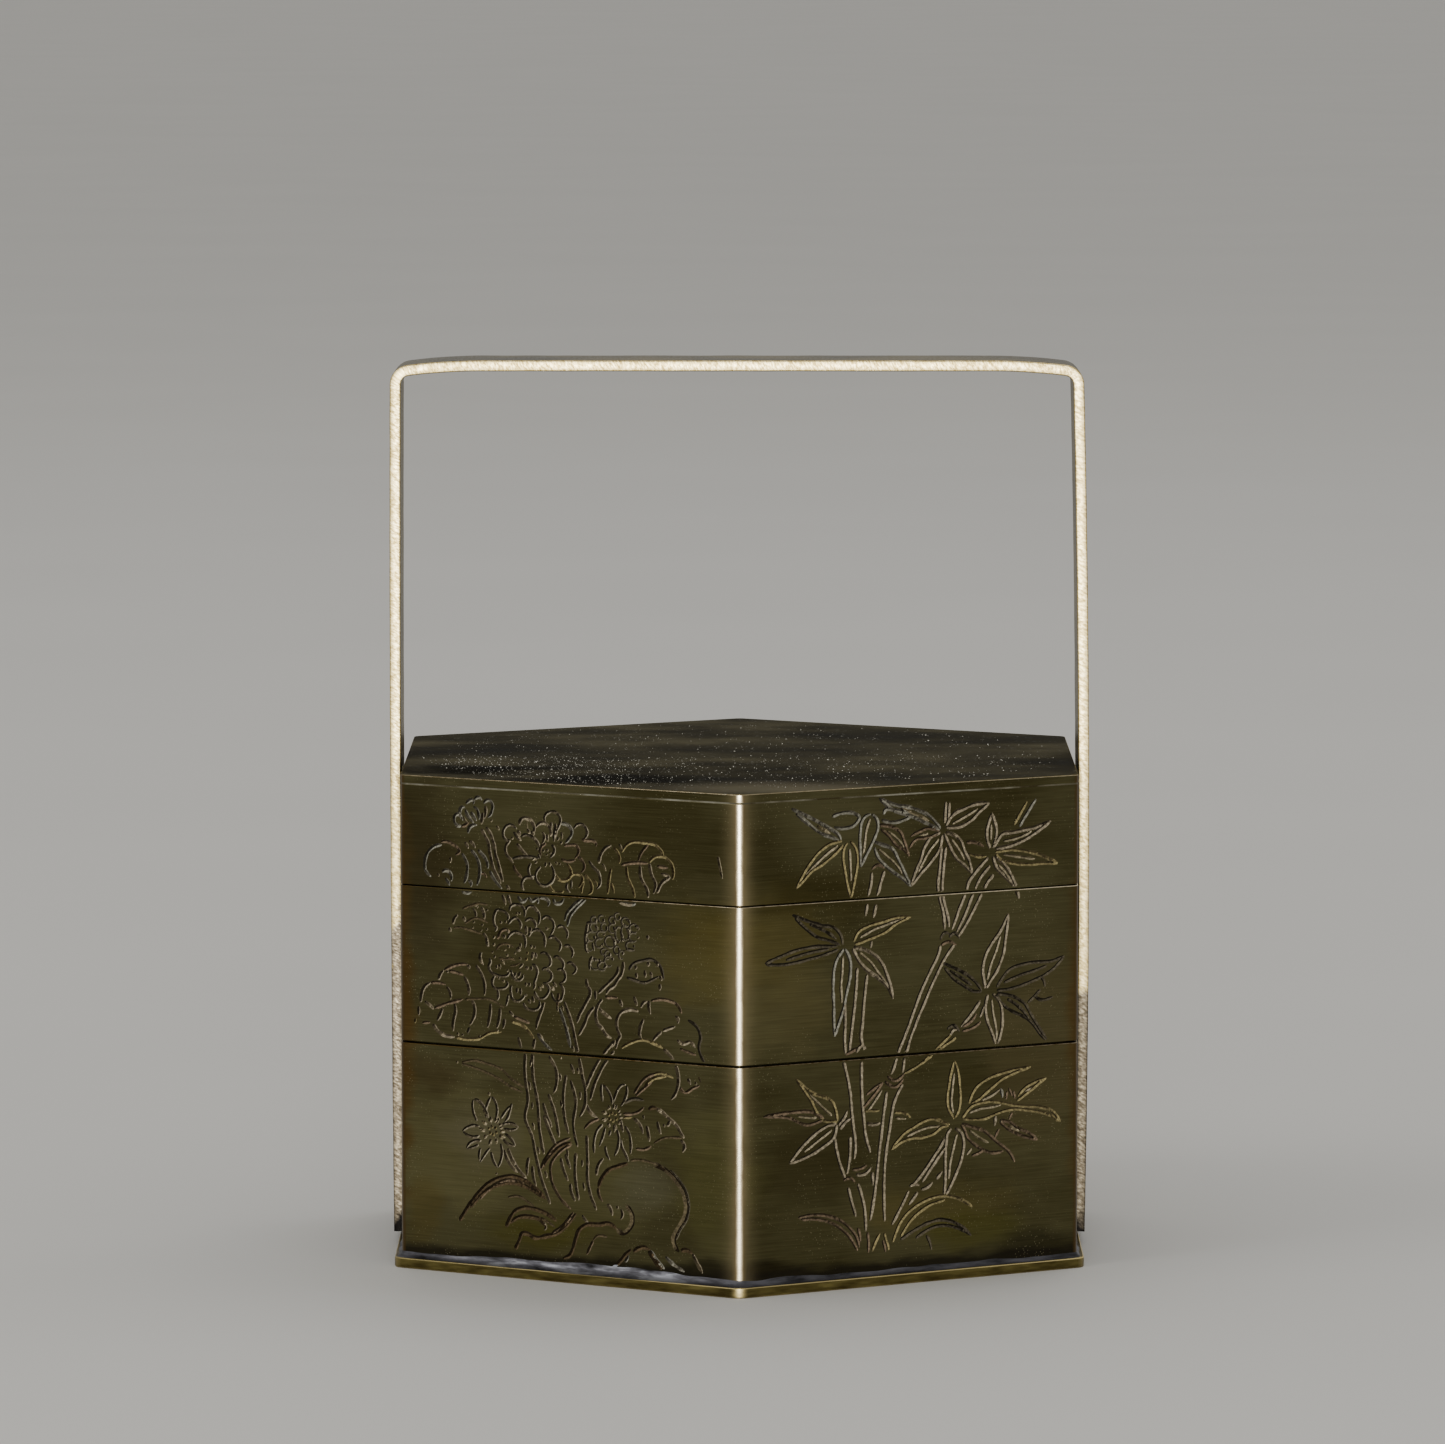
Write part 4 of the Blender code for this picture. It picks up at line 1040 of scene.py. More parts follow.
daisies = """
petal 8.7,14.9 8.3,15.8 8.2,16.5 8.3,17
petal 8.4,17 8.9,16.9 9.4,16.5 9.8,15.9 10,15.3
petal 9.8,15.3 9.7,16 9.95,16.8 10.3,17.4
petal 10.4,17.4 10.7,17.1 10.95,16.6 11,16 10.85,15.3
hair 10,17.8 10.2,17.5
hair 9.45,16.1 9.7,15.6
petal 12.65,16.9 12.4,16 12.2,15.5 11.8,15
petal 12.5,16.6 11.8,15.9 11.4,15.3
petal 11.5,14.75 12.2,14.95 13,14.85 13.4,14.6
petal 11.8,14.4 12.5,14.3 13.3,14.5
petal 11.9,13.9 12.5,13.5 13.05,12.8
petal 11.7,13.3 12.3,12.9 13,12.75
petal 11.4,12.9 11.55,12.1 11.4,11.2 11.05,10.5
petal 10.3,12 10.6,11.1 11,10.5
hair 10.85,10 10.95,9.8
petal 10.2,12.4 9.7,11.8 9.05,10.9
petal 9.1,12.3 8.95,11.6 9,11
petal 9.2,13 8.4,12.95 7.8,12.6 7.5,12.1
petal 8.9,12.6 8.2,12.3 7.55,12.1
petal 9,14.4 8.1,14.4 7.4,14.1 7.05,13.8
petal 9,13.5 8.2,13.3 7.5,13.5 7.1,13.75
petal 22.8,19.5 22.75,18.7 22.9,17.8
petal 22.9,19.4 23.3,19.1 23.8,18.4 24,17.6
petal 24.1,17.8 24.4,18.7 25,19.5 25.5,19.6
petal 25.6,19.5 25.6,18.9 25.4,18.2 24.9,17.5
cream 21.1,17.4 21.5,16.7 22.3,16.2
brown 22.5,16.1 21.4,15.6 20.8,15
petal 22.9,15.6 22.3,15 22,14.2 21.9,13.2 21.95,12.7
petal 23.2,15.3 22.9,14.4 22.5,13.4
petal 23.2,13.5 23.35,12.7 23.7,12.2
petal 24.5,15.2 24.7,14.4 24.6,13.5 24.2,12.6
petal 23.8,15.1 23.6,14.5
petal 24.9,14.3 25.1,13.5 25.5,12.8 25.8,12.2
petal 25.4,15.6 25.9,14.8 26.05,13.8 26,12.9
brown 25.2,16.8 26,16.8 26.9,17.1 27.5,17.6
dark 25.3,17.8 26.4,18.3 27.5,18.2
gold 25.2,16.4 26.2,16.5
cream 24.9,16.2 25,15.7 25.2,15
hair 24.2,15.5 24.2,14.9
cream 11.8,12.3 12.3,11.2 13.3,10.2
cream 12.2,12.5 12.8,11.3 14.3,9.7
"""
# round each daisy's middle a fringe: its place, inner and outer radius and how many marks
fringes = ((10.5, 14.1, 0.85, 1.4, 19), (24.0, 16.4, 0.75, 1.2, 17))
fringeStray = 0.12  # how unevenly its marks are spaced, in radians, and how unevenly long, as a share
stamens = {"count": 6, "from": 0.30, "to": 0.55, "stray": 0.1, "first": 0.4, "curl": 0.5}  # mm and radians
# the ball flower's small petals: middle, half width and half height of each, cut dark round all but their lit
# side, the dark arcs being painted shade
ballPetals = (
    (21.95, 35.3, 0.35, 0.35), (22.8, 35.45, 0.35, 0.35), (24.05, 35.4, 0.42, 0.38), (24.6, 35.8, 0.32, 0.32),
    (25.5, 35.3, 0.5, 0.42), (22.0, 34.6, 0.5, 0.45), (23.1, 34.65, 0.35, 0.42), (24.0, 34.6, 0.4, 0.45),
    (24.7, 34.1, 0.36, 0.7), (25.4, 34.3, 0.4, 0.75), (26.4, 34.75, 0.5, 0.42), (26.35, 33.9, 0.5, 0.42),
    (26.0, 33.05, 0.48, 0.4), (21.6, 33.7, 0.45, 0.45), (21.5, 32.8, 0.42, 0.5), (22.7, 33.9, 0.42, 0.35),
    (22.5, 33.1, 0.42, 0.42), (23.75, 33.3, 0.6, 0.55), (24.45, 33.25, 0.26, 0.4), (24.5, 32.55, 0.35, 0.4),
    (25.0, 32.1, 0.3, 0.4), (23.1, 32.3, 0.4, 0.32), (23.45, 32.0, 0.3, 0.4), (22.1, 31.0, 0.55, 0.5),
    (22.9, 30.9, 0.5, 0.42), (23.6, 31.4, 0.5, 0.5),
)
petalTurns = (50, 95, 140, 185, 230, 275, 315)  # degrees along a small petal's outline


def around(u, z, wide, tall, turn):
    # a place on an oval round its middle
    return u + wide * math.cos(turn), z + tall * math.sin(turn)


def gardenStrokes():
    strokes = []
    drawn = (gardenBud, gardenTopLeaves, topChrysanthemum, middleChrysanthemum)
    for text in drawn + (gardenMiddle, gardenStems, gardenRock, daisies):
        strokes += strokesOf(text)
    for u, z, wide, tall in ballPetals:
        strokes.append(("rim", [around(u, z, wide, tall, math.radians(turn)) for turn in petalTurns]))
    for u, z, inner, outer, count in fringes:
        for mark in range(count):
            turn = math.tau * mark / count + fringeStray * math.sin(3 * mark)
            reach = outer * (1 + fringeStray * math.sin(5 * mark))
            strokes.append(("hair", [around(u, z, r, r, turn) for r in (inner, reach)]))
        for mark in range(stamens["count"]):
            turn = math.tau * mark / stamens["count"] + stamens["first"]
            near, far = stamens["from"] + stamens["stray"] * math.sin(4 * mark), stamens["to"]
            start = around(u, z, near, near, turn)
            strokes.append(("gold", [start, around(u, z, far, far, turn + stamens["curl"])]))
    return strokes


# The right wall's drawing: bamboo. A leaf is three strokes: both edges, and its finer midrib.

bambooLeaves = """
silver 5.8,46.6 7.1,46 8.5,45.3 9.8,44.6 10.9,43.9 11.3,43.3
silver 6.3,46.1 8,44.8 9.2,44 10.5,43.5 11.1,43.2
hair 8.6,44.8 10.1,44
gold 11.4,43.2 10.1,43 8.9,42.3 7.8,41.2 6.9,39.9 6.3,38.9
gold 11.5,42.8 10.7,42.1 9.4,41.2 8.1,40.5 7.1,39.6 6.3,38.9
hair 10.9,42.8 9.6,42 8.3,41 7.4,40.2
gold 12,43 11.6,42.4 11.5,41.5 11.7,40.3 12,38.8 12.4,37.6
gold 12.3,43.1 12.9,42.4 13.1,41 12.8,39.4 12.4,37.6
hair 12.2,42.4 12.3,41 12.4,39.3
silver 13.5,40.6 13.4,42.1 13.4,43.9 13.6,45 14.1,45.5 14.6,45.6
silver 14.7,45.6 15.2,45.2 15.4,44.4 15,43.3 14.5,42.4 13.9,41.4 13.5,40.6
hair 14.5,45.2 14.1,44.1 13.9,42.8 13.7,41.8
brown 15.5,44.5 16.8,44.3 17.9,43.7 18.4,42.6 18.9,41.3
brown 15.7,44.1 16.6,43.4 17.5,42.4 18.4,41.9 18.9,41.3
hair 16.4,43.9 17.5,43.1 18.3,42.2
silver 15,42.9 15.9,42.6 17,42.1 17.7,41 18.4,39.7 19.1,38.4
silver 15,42.4 15.4,41.4 16.3,40.5 17.4,39.7 18.3,39.1 19.1,38.4
hair 15.4,42.2 16.4,41.4 17.4,40.6 18.1,39.7
silver 15.5,47.1 17.2,46.4 19,46 20.8,45.3 21.7,44.6 22.4,43.8
silver 15.6,47 17.5,45.7 19,45.2 20.4,44.6 21.5,44.1 22.3,43.6
hair 17.9,46 19.7,45.3 21.1,44.6
cream 23,44 23.3,44.5 24,45.2 25.1,45.6 26.6,46 27.9,46
cream 23,43.9 24.6,43.9 25.8,44.4 26.9,45.3 27.9,46
hair 23.7,44.2 25.1,44.8 26.6,45.5
cream 22.4,43.4 21.3,43 20.6,42.1 20.1,40.8 19.5,39.6 19.1,38.4
cream 22.6,43.2 22.2,41.7 21.3,40.6 20.2,39.6 19.1,38.4
hair 22.2,42.8 21.3,41.9 20.4,40.6 19.9,39.7
cream 22.8,43.3 23.5,41.9 24.2,40.8 25.1,40.1 26,39.2
cream 23,43.4 23.7,43.2 24.6,42.6 25.1,41.5 25.7,40.3 26,39.2
hair 23.6,42.7 24.4,41.7 25.1,40.6
brown 22.3,43.6 21,43.9 19.9,43.6 19,43.2
brown 22.1,43.3 20.8,43 19.7,42.9 18.9,42.1
hair 21,43.4 20,43.3
cream 28,41.6 27.7,42.3 27.6,43.2 27.9,44.3 28.2,45
cream 28.3,41.6 28.6,42.4 28.7,43.4 28.4,44.4 28.2,45
hair 28.1,43.9 28.1,42.4
cream 28.5,41.7 28.9,42.4 29.4,42.9 30.5,43 32,43.2 33.4,43.4 34.9,43.9
cream 28.6,41.5 30.2,41.7 31.6,42.1 33.1,42.8 34.9,43.9
hair 29.5,42.2 30.9,42.4 32.7,43
gold 28.6,41.2 30.5,41.3 32.4,41 34,40.5 35.7,39.7
gold 28.6,41 29.1,40.5 30.2,40.1 32,39.8 33.8,39.8 35.7,39.7
hair 29.5,40.9 31.3,40.6 33.1,40.3
cream 28.3,40.8 28.7,39.7 29.6,38.8 30.5,38 31.3,36.5
cream 28.5,40.8 29.8,39.7 30.4,38.8 30.9,37.8 31.3,36.5
hair 28.9,39.9 29.8,39 30.6,37.9
dark 5.9,36.4 7.4,35.8 9.2,35.2 10.5,34.9 11.3,34.1 11.5,33.2
dark 6.2,36.1 7.4,35 8.7,34.1 10,33.7 11.2,33.2
dark 7.8,35.4 9.6,34.6 10.8,33.8
dark 2.9,31.9 4.9,32.6 7.1,33.1 8.9,33.2 10.9,33.1
dark 3,31.8 5.2,31.7 7.4,32 9.6,32.4 11,32.8
dark 5.2,32.1 7.4,32.6 10,32.9
silver 11.6,32.8 10.9,32 10.5,30.7 10.4,29.1 10.5,27.3 10.5,25.8 10.6,24.4
silver 11.7,32.8 12.3,31.6 12.3,30.2 11.9,28.5 11.6,27.1 11.1,25.8 10.6,24.4
hair 11.5,32.1 11.4,30.5 11.3,29.1 11.4,27.6
gold 12.7,33.4 13.2,34.3 14.5,34.9 16.1,35.2 17.5,35.5 19.1,35.4
gold 12.8,33.2 14.5,33.6 16.1,34.1 17.5,34.9 19,35.4
hair 13.4,33.8 15,34.5 16.8,35 18.1,35.3
cream 12.7,32.9 13.9,32.6 15,32 15.9,31.1 16.4,30 16.8,28.9 17.1,27.6
cream 12.6,32.8 13.4,31.4 14.3,30.5 15.4,29.8 16.3,29.1 17,27.8
hair 13.2,32.4 14.5,31.4 15.5,30.2 16.3,29.3
cream 27.5,28 27.3,28.9 27.2,30 27.5,31.2 28.2,32.3 29.1,33.4 30.1,35.1
cream 27.6,28 28.1,28.7 28.9,29.8 29.5,31.2 29.8,32.9 30.1,35.1
hair 27.7,28.8 28.1,30.2 28.7,31.6 29.2,33
dark 28.8,28 29.3,28.7 30,29.5 31.3,30 33.1,30.2 34.9,30.2 36.5,30.6
dark 28.8,27.7 30.5,27.8 32.2,28.2 33.8,28.7 35.2,29.4 36.5,30.6
dark 29.6,28.4 31.3,29 33.1,29.4 34.5,29.8
dark 28.8,27.4 29.6,27.3 30.9,26.9 32,26.2 32.7,25.1 33.6,23.8 34.5,22.6
dark 28.7,27.3 29.3,26.5 30.5,25.6 31.6,25.1 32.7,24.4 33.8,23.1 34.4,22.5
dark 30,26.8 31.4,25.9 32.5,24.7
cream 27.8,27.4 27.5,26.2 27.7,24.9 28.2,23.7 28.7,22.5
cream 28.3,27.4 29,26.8 29.4,25.6 29.3,23.7 28.9,22.5
hair 28.2,26.9 28.4,25.5 28.7,24 28.8,22.9
dark 22.6,30.8 24,30.2 25.5,29.4 26.4,28.7 27.1,27.8
dark 22.9,30.3 24,29.1 25.1,28.4 26.2,27.8 27.1,27.7
dark 23.5,30 24.9,29.1 26,28.4
gold 10.9,16.2 10.4,18 8,19.2 6.3,20.6
gold 10.9,16.2 9.4,16.4 7.8,18.6 6.3,20.6
hair 10.3,16.8 9.2,17.7 7.8,19
brown 9.4,16.5 8.3,17.2 5.5,17.4 2.7,17.2
brown 9.4,16.5 7.5,16.1 5.5,16.9 2.7,17.2
hair 8.6,16.7 6.5,17
cream 10.8,15.9 10,15.9 9,15.5 7.2,14.2 5.6,12.5
cream 10.8,15.9 10.5,14.7 9.4,13.9 8,13.2 5.6,12.5
hair 10.3,15.4 8.8,14.5 7.2,13.5
gold 24,15.5 23.4,16.4 23.2,17.5 23.4,18.8 23.6,19.9 24,21.2
gold 24.1,15.6 24.5,16.3 24.7,17.4 24.6,18.8 24.4,20.2 24,21.2
hair 23.9,16.1 23.7,17.1 23.8,18.5 24,20
gold 25.7,16.9 26,17.7 26.5,18.4 27.4,19 28.5,19.4 29.9,19.7 31.3,19.9 32.7,20
gold 25.9,16.9 26.7,17.2 27.6,17.8 28.6,18.5 29.6,19.1 30.7,19.5 32.7,20
hair 27.1,17.1 28.2,17.5 29.3,18.1
gold 24.9,15.5 25.3,16 26,16.6 27.1,16.9 28.5,16.9 29.6,16.7 30.7,16.4 32.1,16.2 33.8,16 34.8,15.7
  35.5,15.2 36.1,14.4
gold 24.9,15.5 26.2,15.3 27.4,15.3 28.5,15.6 29.6,15.9 30.9,16 32.4,15.8 34.1,15.4 35.2,15 36,14.4
hair 25.7,16 26.8,16.3 28.2,16.4 29.3,16.5
gold 23.5,15 22.9,15.2 22.3,15.5 21.5,15.7 20.5,15.5 19.4,15 18.4,14.5 17.6,13.8 16.9,13
gold 23.4,14.9 22.6,14.8 21.8,14.3 20.6,14 19.5,14 18.4,13.8 16.9,13
hair 22.4,14.9 21.2,14.9 19.8,14.6 18.7,14.2
cream 23.7,14.6 23.3,14.2 23.1,13.3 23,12.2 23,11 23,9.6 22.9,7.9
cream 24.1,14.6 24.9,13.9 25.1,13.2 25,12.2 24.7,11.2 24.2,10.1 23.6,9 22.9,7.9
hair 24.3,14 24,12.9 23.7,11.8 23.5,10.7 23.4,9.7
brown 24.9,15 26.3,14.5 27.4,14.1 28.4,13.3 29.3,12.6 30.2,11.9 30.9,10.8
brown 24.8,14.9 25.2,14.3 25.5,13.6 26.4,12.8 27.4,12.2 28.4,11.9 29.6,12
hair 25.7,14.3 26.8,13.5 27.9,12.9
brown 29.2,15 30.4,14.7 31.3,14.1 32.4,13.6 33.5,12.8
brown 29.2,14.9 30,14.2 30.9,13.7 32.1,13.2 33.5,12.8
hair 30.2,14.4 31.4,13.8
gold 31.1,16.8 32,17.3 32.8,17.8 33.7,18.4 34.5,18.8
gold 31.2,17.2 31.7,17.7 32.4,18.2 33.2,18.5 34.5,18.8
hair 32,17.6 33,18.1
brown 14.1,18.5 15,19.1 16,19.6
brown 13.8,17.3 14.5,18 15.3,18.8 16,19.6
hair 14.3,17 15.2,18 15.9,18.9
gold 13.9,17 15.6,16.9
gold 17.3,16.6 18.3,16.5 19.1,16
hair 17.4,16.1 18.6,15.9
"""
bambooCulms = """
silver 10.3,45.6 11.5,45.9 12.7,45.8 13.3,45.4 12.8,44.7 11.5,44.4 10.5,44.6
silver 15.8,45 17,44.7 19.2,45.2
silver 16,45.5 16.2,45.9 17.5,45.8 19,45.5
cream 22.9,44.3 22.9,45.3 23,46.4
cream 23.3,44.3 23.3,45.3 23.4,46.3
cream 22.5,42.1 22.3,40 22.1,38 22.3,37.2 22.7,35.6 22.9,34
cream 23,42 22.7,39.8 22.6,38 22.7,37 23.1,35.6 23.4,34.2
brown 25.3,42.3 26.5,42.2 27.3,41.8
gold 25.5,41.2 26.5,40.9 27.6,40.8
gold 30.7,43.7 31.4,44.8 32.2,45.9
silver 31.3,43.5 32.2,44.8 33.2,46.1
cream 27.8,40.7 27,40 26.2,39.2 25.6,38.5 25.3,37.6 24.4,35.6 23.7,33.9
cream 28,39.9 26.9,38.8 26.2,37.5 25.3,35.6 24.2,33.6
cream 28.4,39 27.7,38.3 27.2,37.5 26.2,35.8 25.1,34.1 24.4,33.2
dark 22.4,33 22.9,33.7 23.5,33.5
dark 23.4,33.2 24,33.6 24.6,33
brown 22.5,32.5 23.3,32.8 24.2,32.4
cream 22.4,32.5 22.3,32 21.3,30.1 20.2,28.1 19.4,26.2 18.4,23.9 17.7,22.4 17.5,21.8 16.9,20.3
cream 24,32.5 22.9,31.2 21.9,29.5 20.6,27 19.6,25 18.6,22.4 18.4,21.7 18.2,20.4
brown 16.2,19.7 17.4,19.1 18.3,19.8
brown 16.5,20.2 17.4,19.7 18.4,20.3
cream 16.4,18.7 15.9,15.5 15.6,13 15.2,9.8 14.6,6.3
cream 18.2,19.3 17.3,17.8 16.8,15.4 16.3,12.5 16.1,8.5 16.2,6.1
cream 14.7,40 14.6,38.9 14.3,37.7
cream 16.1,40.1 15.6,38.6 15.3,37.7
brown 14.7,40.3 15.4,40.7 16.1,40.3
cream 14.2,37 14,35.8
cream 15.2,36.9 14.9,35.6
cream 14.7,33.4 14.6,32.7
cream 11.7,27.6 11.75,25.8 11.7,24 11.8,22.6
cream 13.1,30.9 12.8,27.3 12.5,25.1 12.2,22.8
cream 14.2,30.2 13.9,28 13.7,25.8 13.6,23.7 13.9,22.9
brown 11.8,22.6 12.6,22.9 13.3,23.2
cream 13,22.7 13.6,23.3 14.1,23
cream 11.6,21.9 12.2,19.5 12.6,16 12.9,13.5 12.8,12.4
cream 13.6,21.8 13.6,19 13.8,16.5 14.2,13.9 14.6,12.9
cream 13,10.9 14,10.9 14.7,11.5
brown 12.6,11.4 13.3,11.4 14.2,11.7
cream 14.8,11 14.9,9.7
cream 12.1,9.7 12.6,8 13,6.8
cream 13.2,10 13.8,8.2 14.1,5.3
cream 10.6,14.6 11,12.6 11.8,10.6
cream 12.3,14.6 12.3,12.8 12,11
brown 11.6,10.4 12.2,10.6 12.9,10.2
cream 26.9,26.8 25.8,25.5 24.7,24.4
cream 27.4,26.3 26.9,25.2
cream 23.6,23.7 23.9,24.2 24.4,24.2
dark 23.2,24.3 23.9,24.6 24.6,24
gold 23.7,23.8 22,22.5 20,21 18.3,20.3
gold 24.2,23.4 22.3,22.4 20.3,21.1
brown 24.9,24 26.4,24.4 27,24.8
brown 24.9,24.4 26,25 26.5,25.6
dark 33.8,28.7 34.1,28.4 34.3,27.7
dark 33,27 33.8,26.5 35.2,26.7
dark 33.8,27.5 33,26.8 32.3,26.3
cream 11,15.8 11.6,16.4 12,17.2
cream 11.2,15.4 12,16.2 12.5,16.4
cream 14.2,15.8 14.9,15.6 15.7,15.7
hair 25.4,11.9 26,12.5
brown 26,11.8 26.8,12 27.5,12.3
silver 29.3,18.1 29.5,17.2
brown 30,17.8 29.9,17
brown 30.2,18.1 30.6,17.3
brown 30.7,17.8 30.9,17
cream 28.7,15.5 28.6,14.5
hair 29.4,15.1 29.3,14.7
brown 30.6,15.7 30.2,15
brown 29.1,14.2 28.6,13.3
cream 23,13.7 21.3,11.5 20,10 19.3,9.3
cream 23.2,13 21.8,11.4 20.4,9.6
cream 19,9.3 19.5,9.5 20.1,9.3
cream 18.9,8.9 18,7.3 17,5.7
cream 19.9,8.7 19.4,8.1 18.9,7.5
cream 20.3,8.9 21,9.1 21.6,9.5
cream 22,9.8 22.4,10.2 22.7,10.5
brown 6.6,7.2 9,7.3 11.5,6.4 13,4.9 13.4,3.8
brown 6.9,7 9.5,6.7 12,5.2 13.2,3.5
gold 17.1,4 18.4,6.4 20.5,7.7 23,8.1 25,7.5 26.1,6.8
gold 18,4.5 19.5,6.3 21.5,7.4 23,7.7
dark 18,4.2 20,5.2 22.5,5.8 24.3,5.3 26,4
dark 19.7,4.2 22,5.2 24.3,4.9 26,4
dark 20.9,4.4 21.3,3.7 21.5,2.9
brown 13.2,5.7 13.4,5 13.5,4.3
brown 14.3,5.2 14.4,4.2 14.4,3.2
gold 14.8,3.3 15.2,4.2 15.7,5
gold 16.2,5 16.4,4.1 16.7,3.3
brown 16,4.3 16.2,3.7 16.3,3.1
"""
drawings = {"garden": gardenStrokes(), "bamboo": strokesOf(bambooCulms) + strokesOf(bambooLeaves)}
print("drawings:", {name: len(strokes) for name, strokes in drawings.items()})


# Metals. Sizes in mm; colours as they look under a plain light, apart from the painted shade, highlights and
# reflection noted below.

def placeOnWall(wall, u, z):
    corner, across = wallPlane(wall)[:2]
    return tuple(corner + across * u + np.array((0, 0, z)))


wallBrass = {
    "colours": ("#433e24", "#575338"),
    "cloud": (15, 15, 9),  # mm across the paler clouds
    "streak": (5, 5, 0.14),  # length and height of a brushed streak
    "brushing": (0.89, 1.12),  # how much darker and paler the streaks are
    "grooves": {"length": 6, "spacing": 0.12, "depth": 0.01},
    "roughness": (0.26, 0.38),
    "rubbed": ("#554222", "#ffefcc"),  # a side bend's brown, and the bare metal of edges, also the colour of the painted highlight on the front corner
    "glow": ((0, -38.0, 20), 3.4, "#bfae84"),  # the front corner's line, how far its painted highlight reaches, colour
    "stain": {"colour": "#27231c", "height": 2.4, "solid": 1.6, "strength": 0.88},  # over the foot's solder
    "dirt": {"colour": "#a39b78", "apart": 0.30, "strength": 0.55},
    # wall, u, z, reach along the wall and up, colour, strength
    "patches": (
        (5, 5.0, 12.0, 17.0, 8.5, "#6a6544", 0.7),  # paler low on the left
        (5, 21.0, 10.0, 13.0, 8.0, "#64603f", 0.6),
        (5, 35.0, 11.0, 6.0, 8.0, "#636039", 0.55),
        (5, 34.5, 33.0, 8.0, 7.0, "#675c2e", 0.42),  # golden by the front corner
        (0, 3.5, 33.5, 9.0, 7.0, "#6a5e30", 0.36),
        (0, 4.5, 27.0, 8.0, 6.0, "#67603f", 0.55),
        (0, 33.0, 22.0, 8.0, 14.0, "#60583c", 0.6),
        (0, 21.0, 7.0, 12.0, 3.6, "#625934", 0.6),
        (5, 9.0, 13.5, 6.0, 4.0, "#6c6751", 0.5),  # greyer
        (5, 27.5, 9.5, 5.0, 3.5, "#6b6853", 0.45),
        (5, 2.6, 6.0, 2.6, 5.0, "#5e4f22", 0.35),  # more golden
        (5, 15.0, 4.6, 9.0, 2.6, "#55511f", 0.5),  # greener
        (0, 26.0, 4.6, 8.0, 2.6, "#524f1f", 0.5),
        (5, 3.5, 19.2, 5.0, 2.6, "#463a22", 0.5),  # darker
        (5, 2.0, 39.0, 5.0, 11.0, "#3b3320", 0.6),
        (5, -0.2, 27.0, 2.4, 24.0, "#5c4420", 0.75),  # browned by handling beside the handle
        (0, 38.2, 24.0, 2.0, 22.0, "#5a4422", 0.65),
        (0, 9.0, 13.0, 8.0, 6.0, "#3e3821", 0.6),
        (0, 8.0, 38.5, 9.0, 3.0, "#3f381c", 0.6),
        (5, 35.0, 2.2, 6.0, 1.6, "#1f1b13", 0.7),  # smudges beside the foot
        (0, 34.0, 2.6, 9.0, 2.0, "#211d12", 0.6),
        (0, 3.0, 2.4, 5.0, 1.2, "#221c11", 0.8),
    ),
}


def stainFoot(tree, inMm, colour):
    # a dark stain over the solder along the foot
    stain = wallBrass["stain"]
    height = addNode(tree, "SeparateXYZ", links={0: inMm})
    uneven = mottle(tree, inMm, (5, 5, 1.5), 0.3, 0.7, 2.0, 2.0)
    edge = addNode(tree, "Math", {"operation": "MULTIPLY_ADD", 1: -0.7}, {0: uneven, 2: (height, "Z")})
    fade = {"From Min": stain["height"], "From Max": stain["solid"], "To Max": stain["strength"]}
    stained = addNode(tree, "MapRange", fade, {"Value": edge})
    return addNode(tree, "MixRGB", {"Color2": stain["colour"]}, {"Fac": stained, "Color1": colour})


def strewDirt(tree, inMm, colour):
    # specks of dirt
    dirt = wallBrass["dirt"]
    grain = addNode(tree, "Mapping", {"Scale": [1 / dirt["apart"]] * 3}, {"Vector": inMm})
    specks = addNode(tree, "TexVoronoi", {"Scale": 1.0}, {"Vector": grain})
    keep = mottle(tree, inMm, (5, 5, 5), 0.46, 0.62, 2.0, 8.0)
    small = addNode(tree, "MapRange", {"From Min": 0.20, "From Max": 0.08}, {"Value": specks})
    share = addNode(tree, "Math", {"operation": "MULTIPLY"}, {0: small, 1: keep})
    share = addNode(tree, "Math", {"operation": "MULTIPLY", 1: dirt["strength"]}, {0: share})
    return addNode(tree, "MixRGB", {"Color2": dirt["colour"]}, {"Fac": share, "Color1": colour})


def paintCornerHighlight(tree, inMm, colour):
    # a painted highlight beside the front corner, fading along both walls
    line, reach, pale = wallBrass["glow"]
    off = addNode(tree, "VectorMath", {"operation": "SUBTRACT", 1: line}, {0: inMm})
    shares = addNode(tree, "VectorMath", {"operation": "DIVIDE", 1: (reach, reach, 1000)}, {0: off})
    far = addNode(tree, "VectorMath", {"operation": "LENGTH"}, {0: shares})
    near = addNode(tree, "MapRange", {"From Min": 1.0, "From Max": 0.0}, {"Value": (far, "Value")})
    near = addNode(tree, "Math", {"operation": "POWER", 1: 3.6}, {0: near})
    uneven = mottle(tree, inMm, (2, 2, 6), 0.3, 0.7, 3.0, 6.0)
    uneven = addNode(tree, "MapRange", {"To Min": 0.45, "To Max": 0.85}, {"Value": uneven})
    near = addNode(tree, "Math", {"operation": "MULTIPLY"}, {0: near, 1: uneven})
    return addNode(tree, "MixRGB", {"Color2": pale}, {"Fac": near, "Color1": colour})


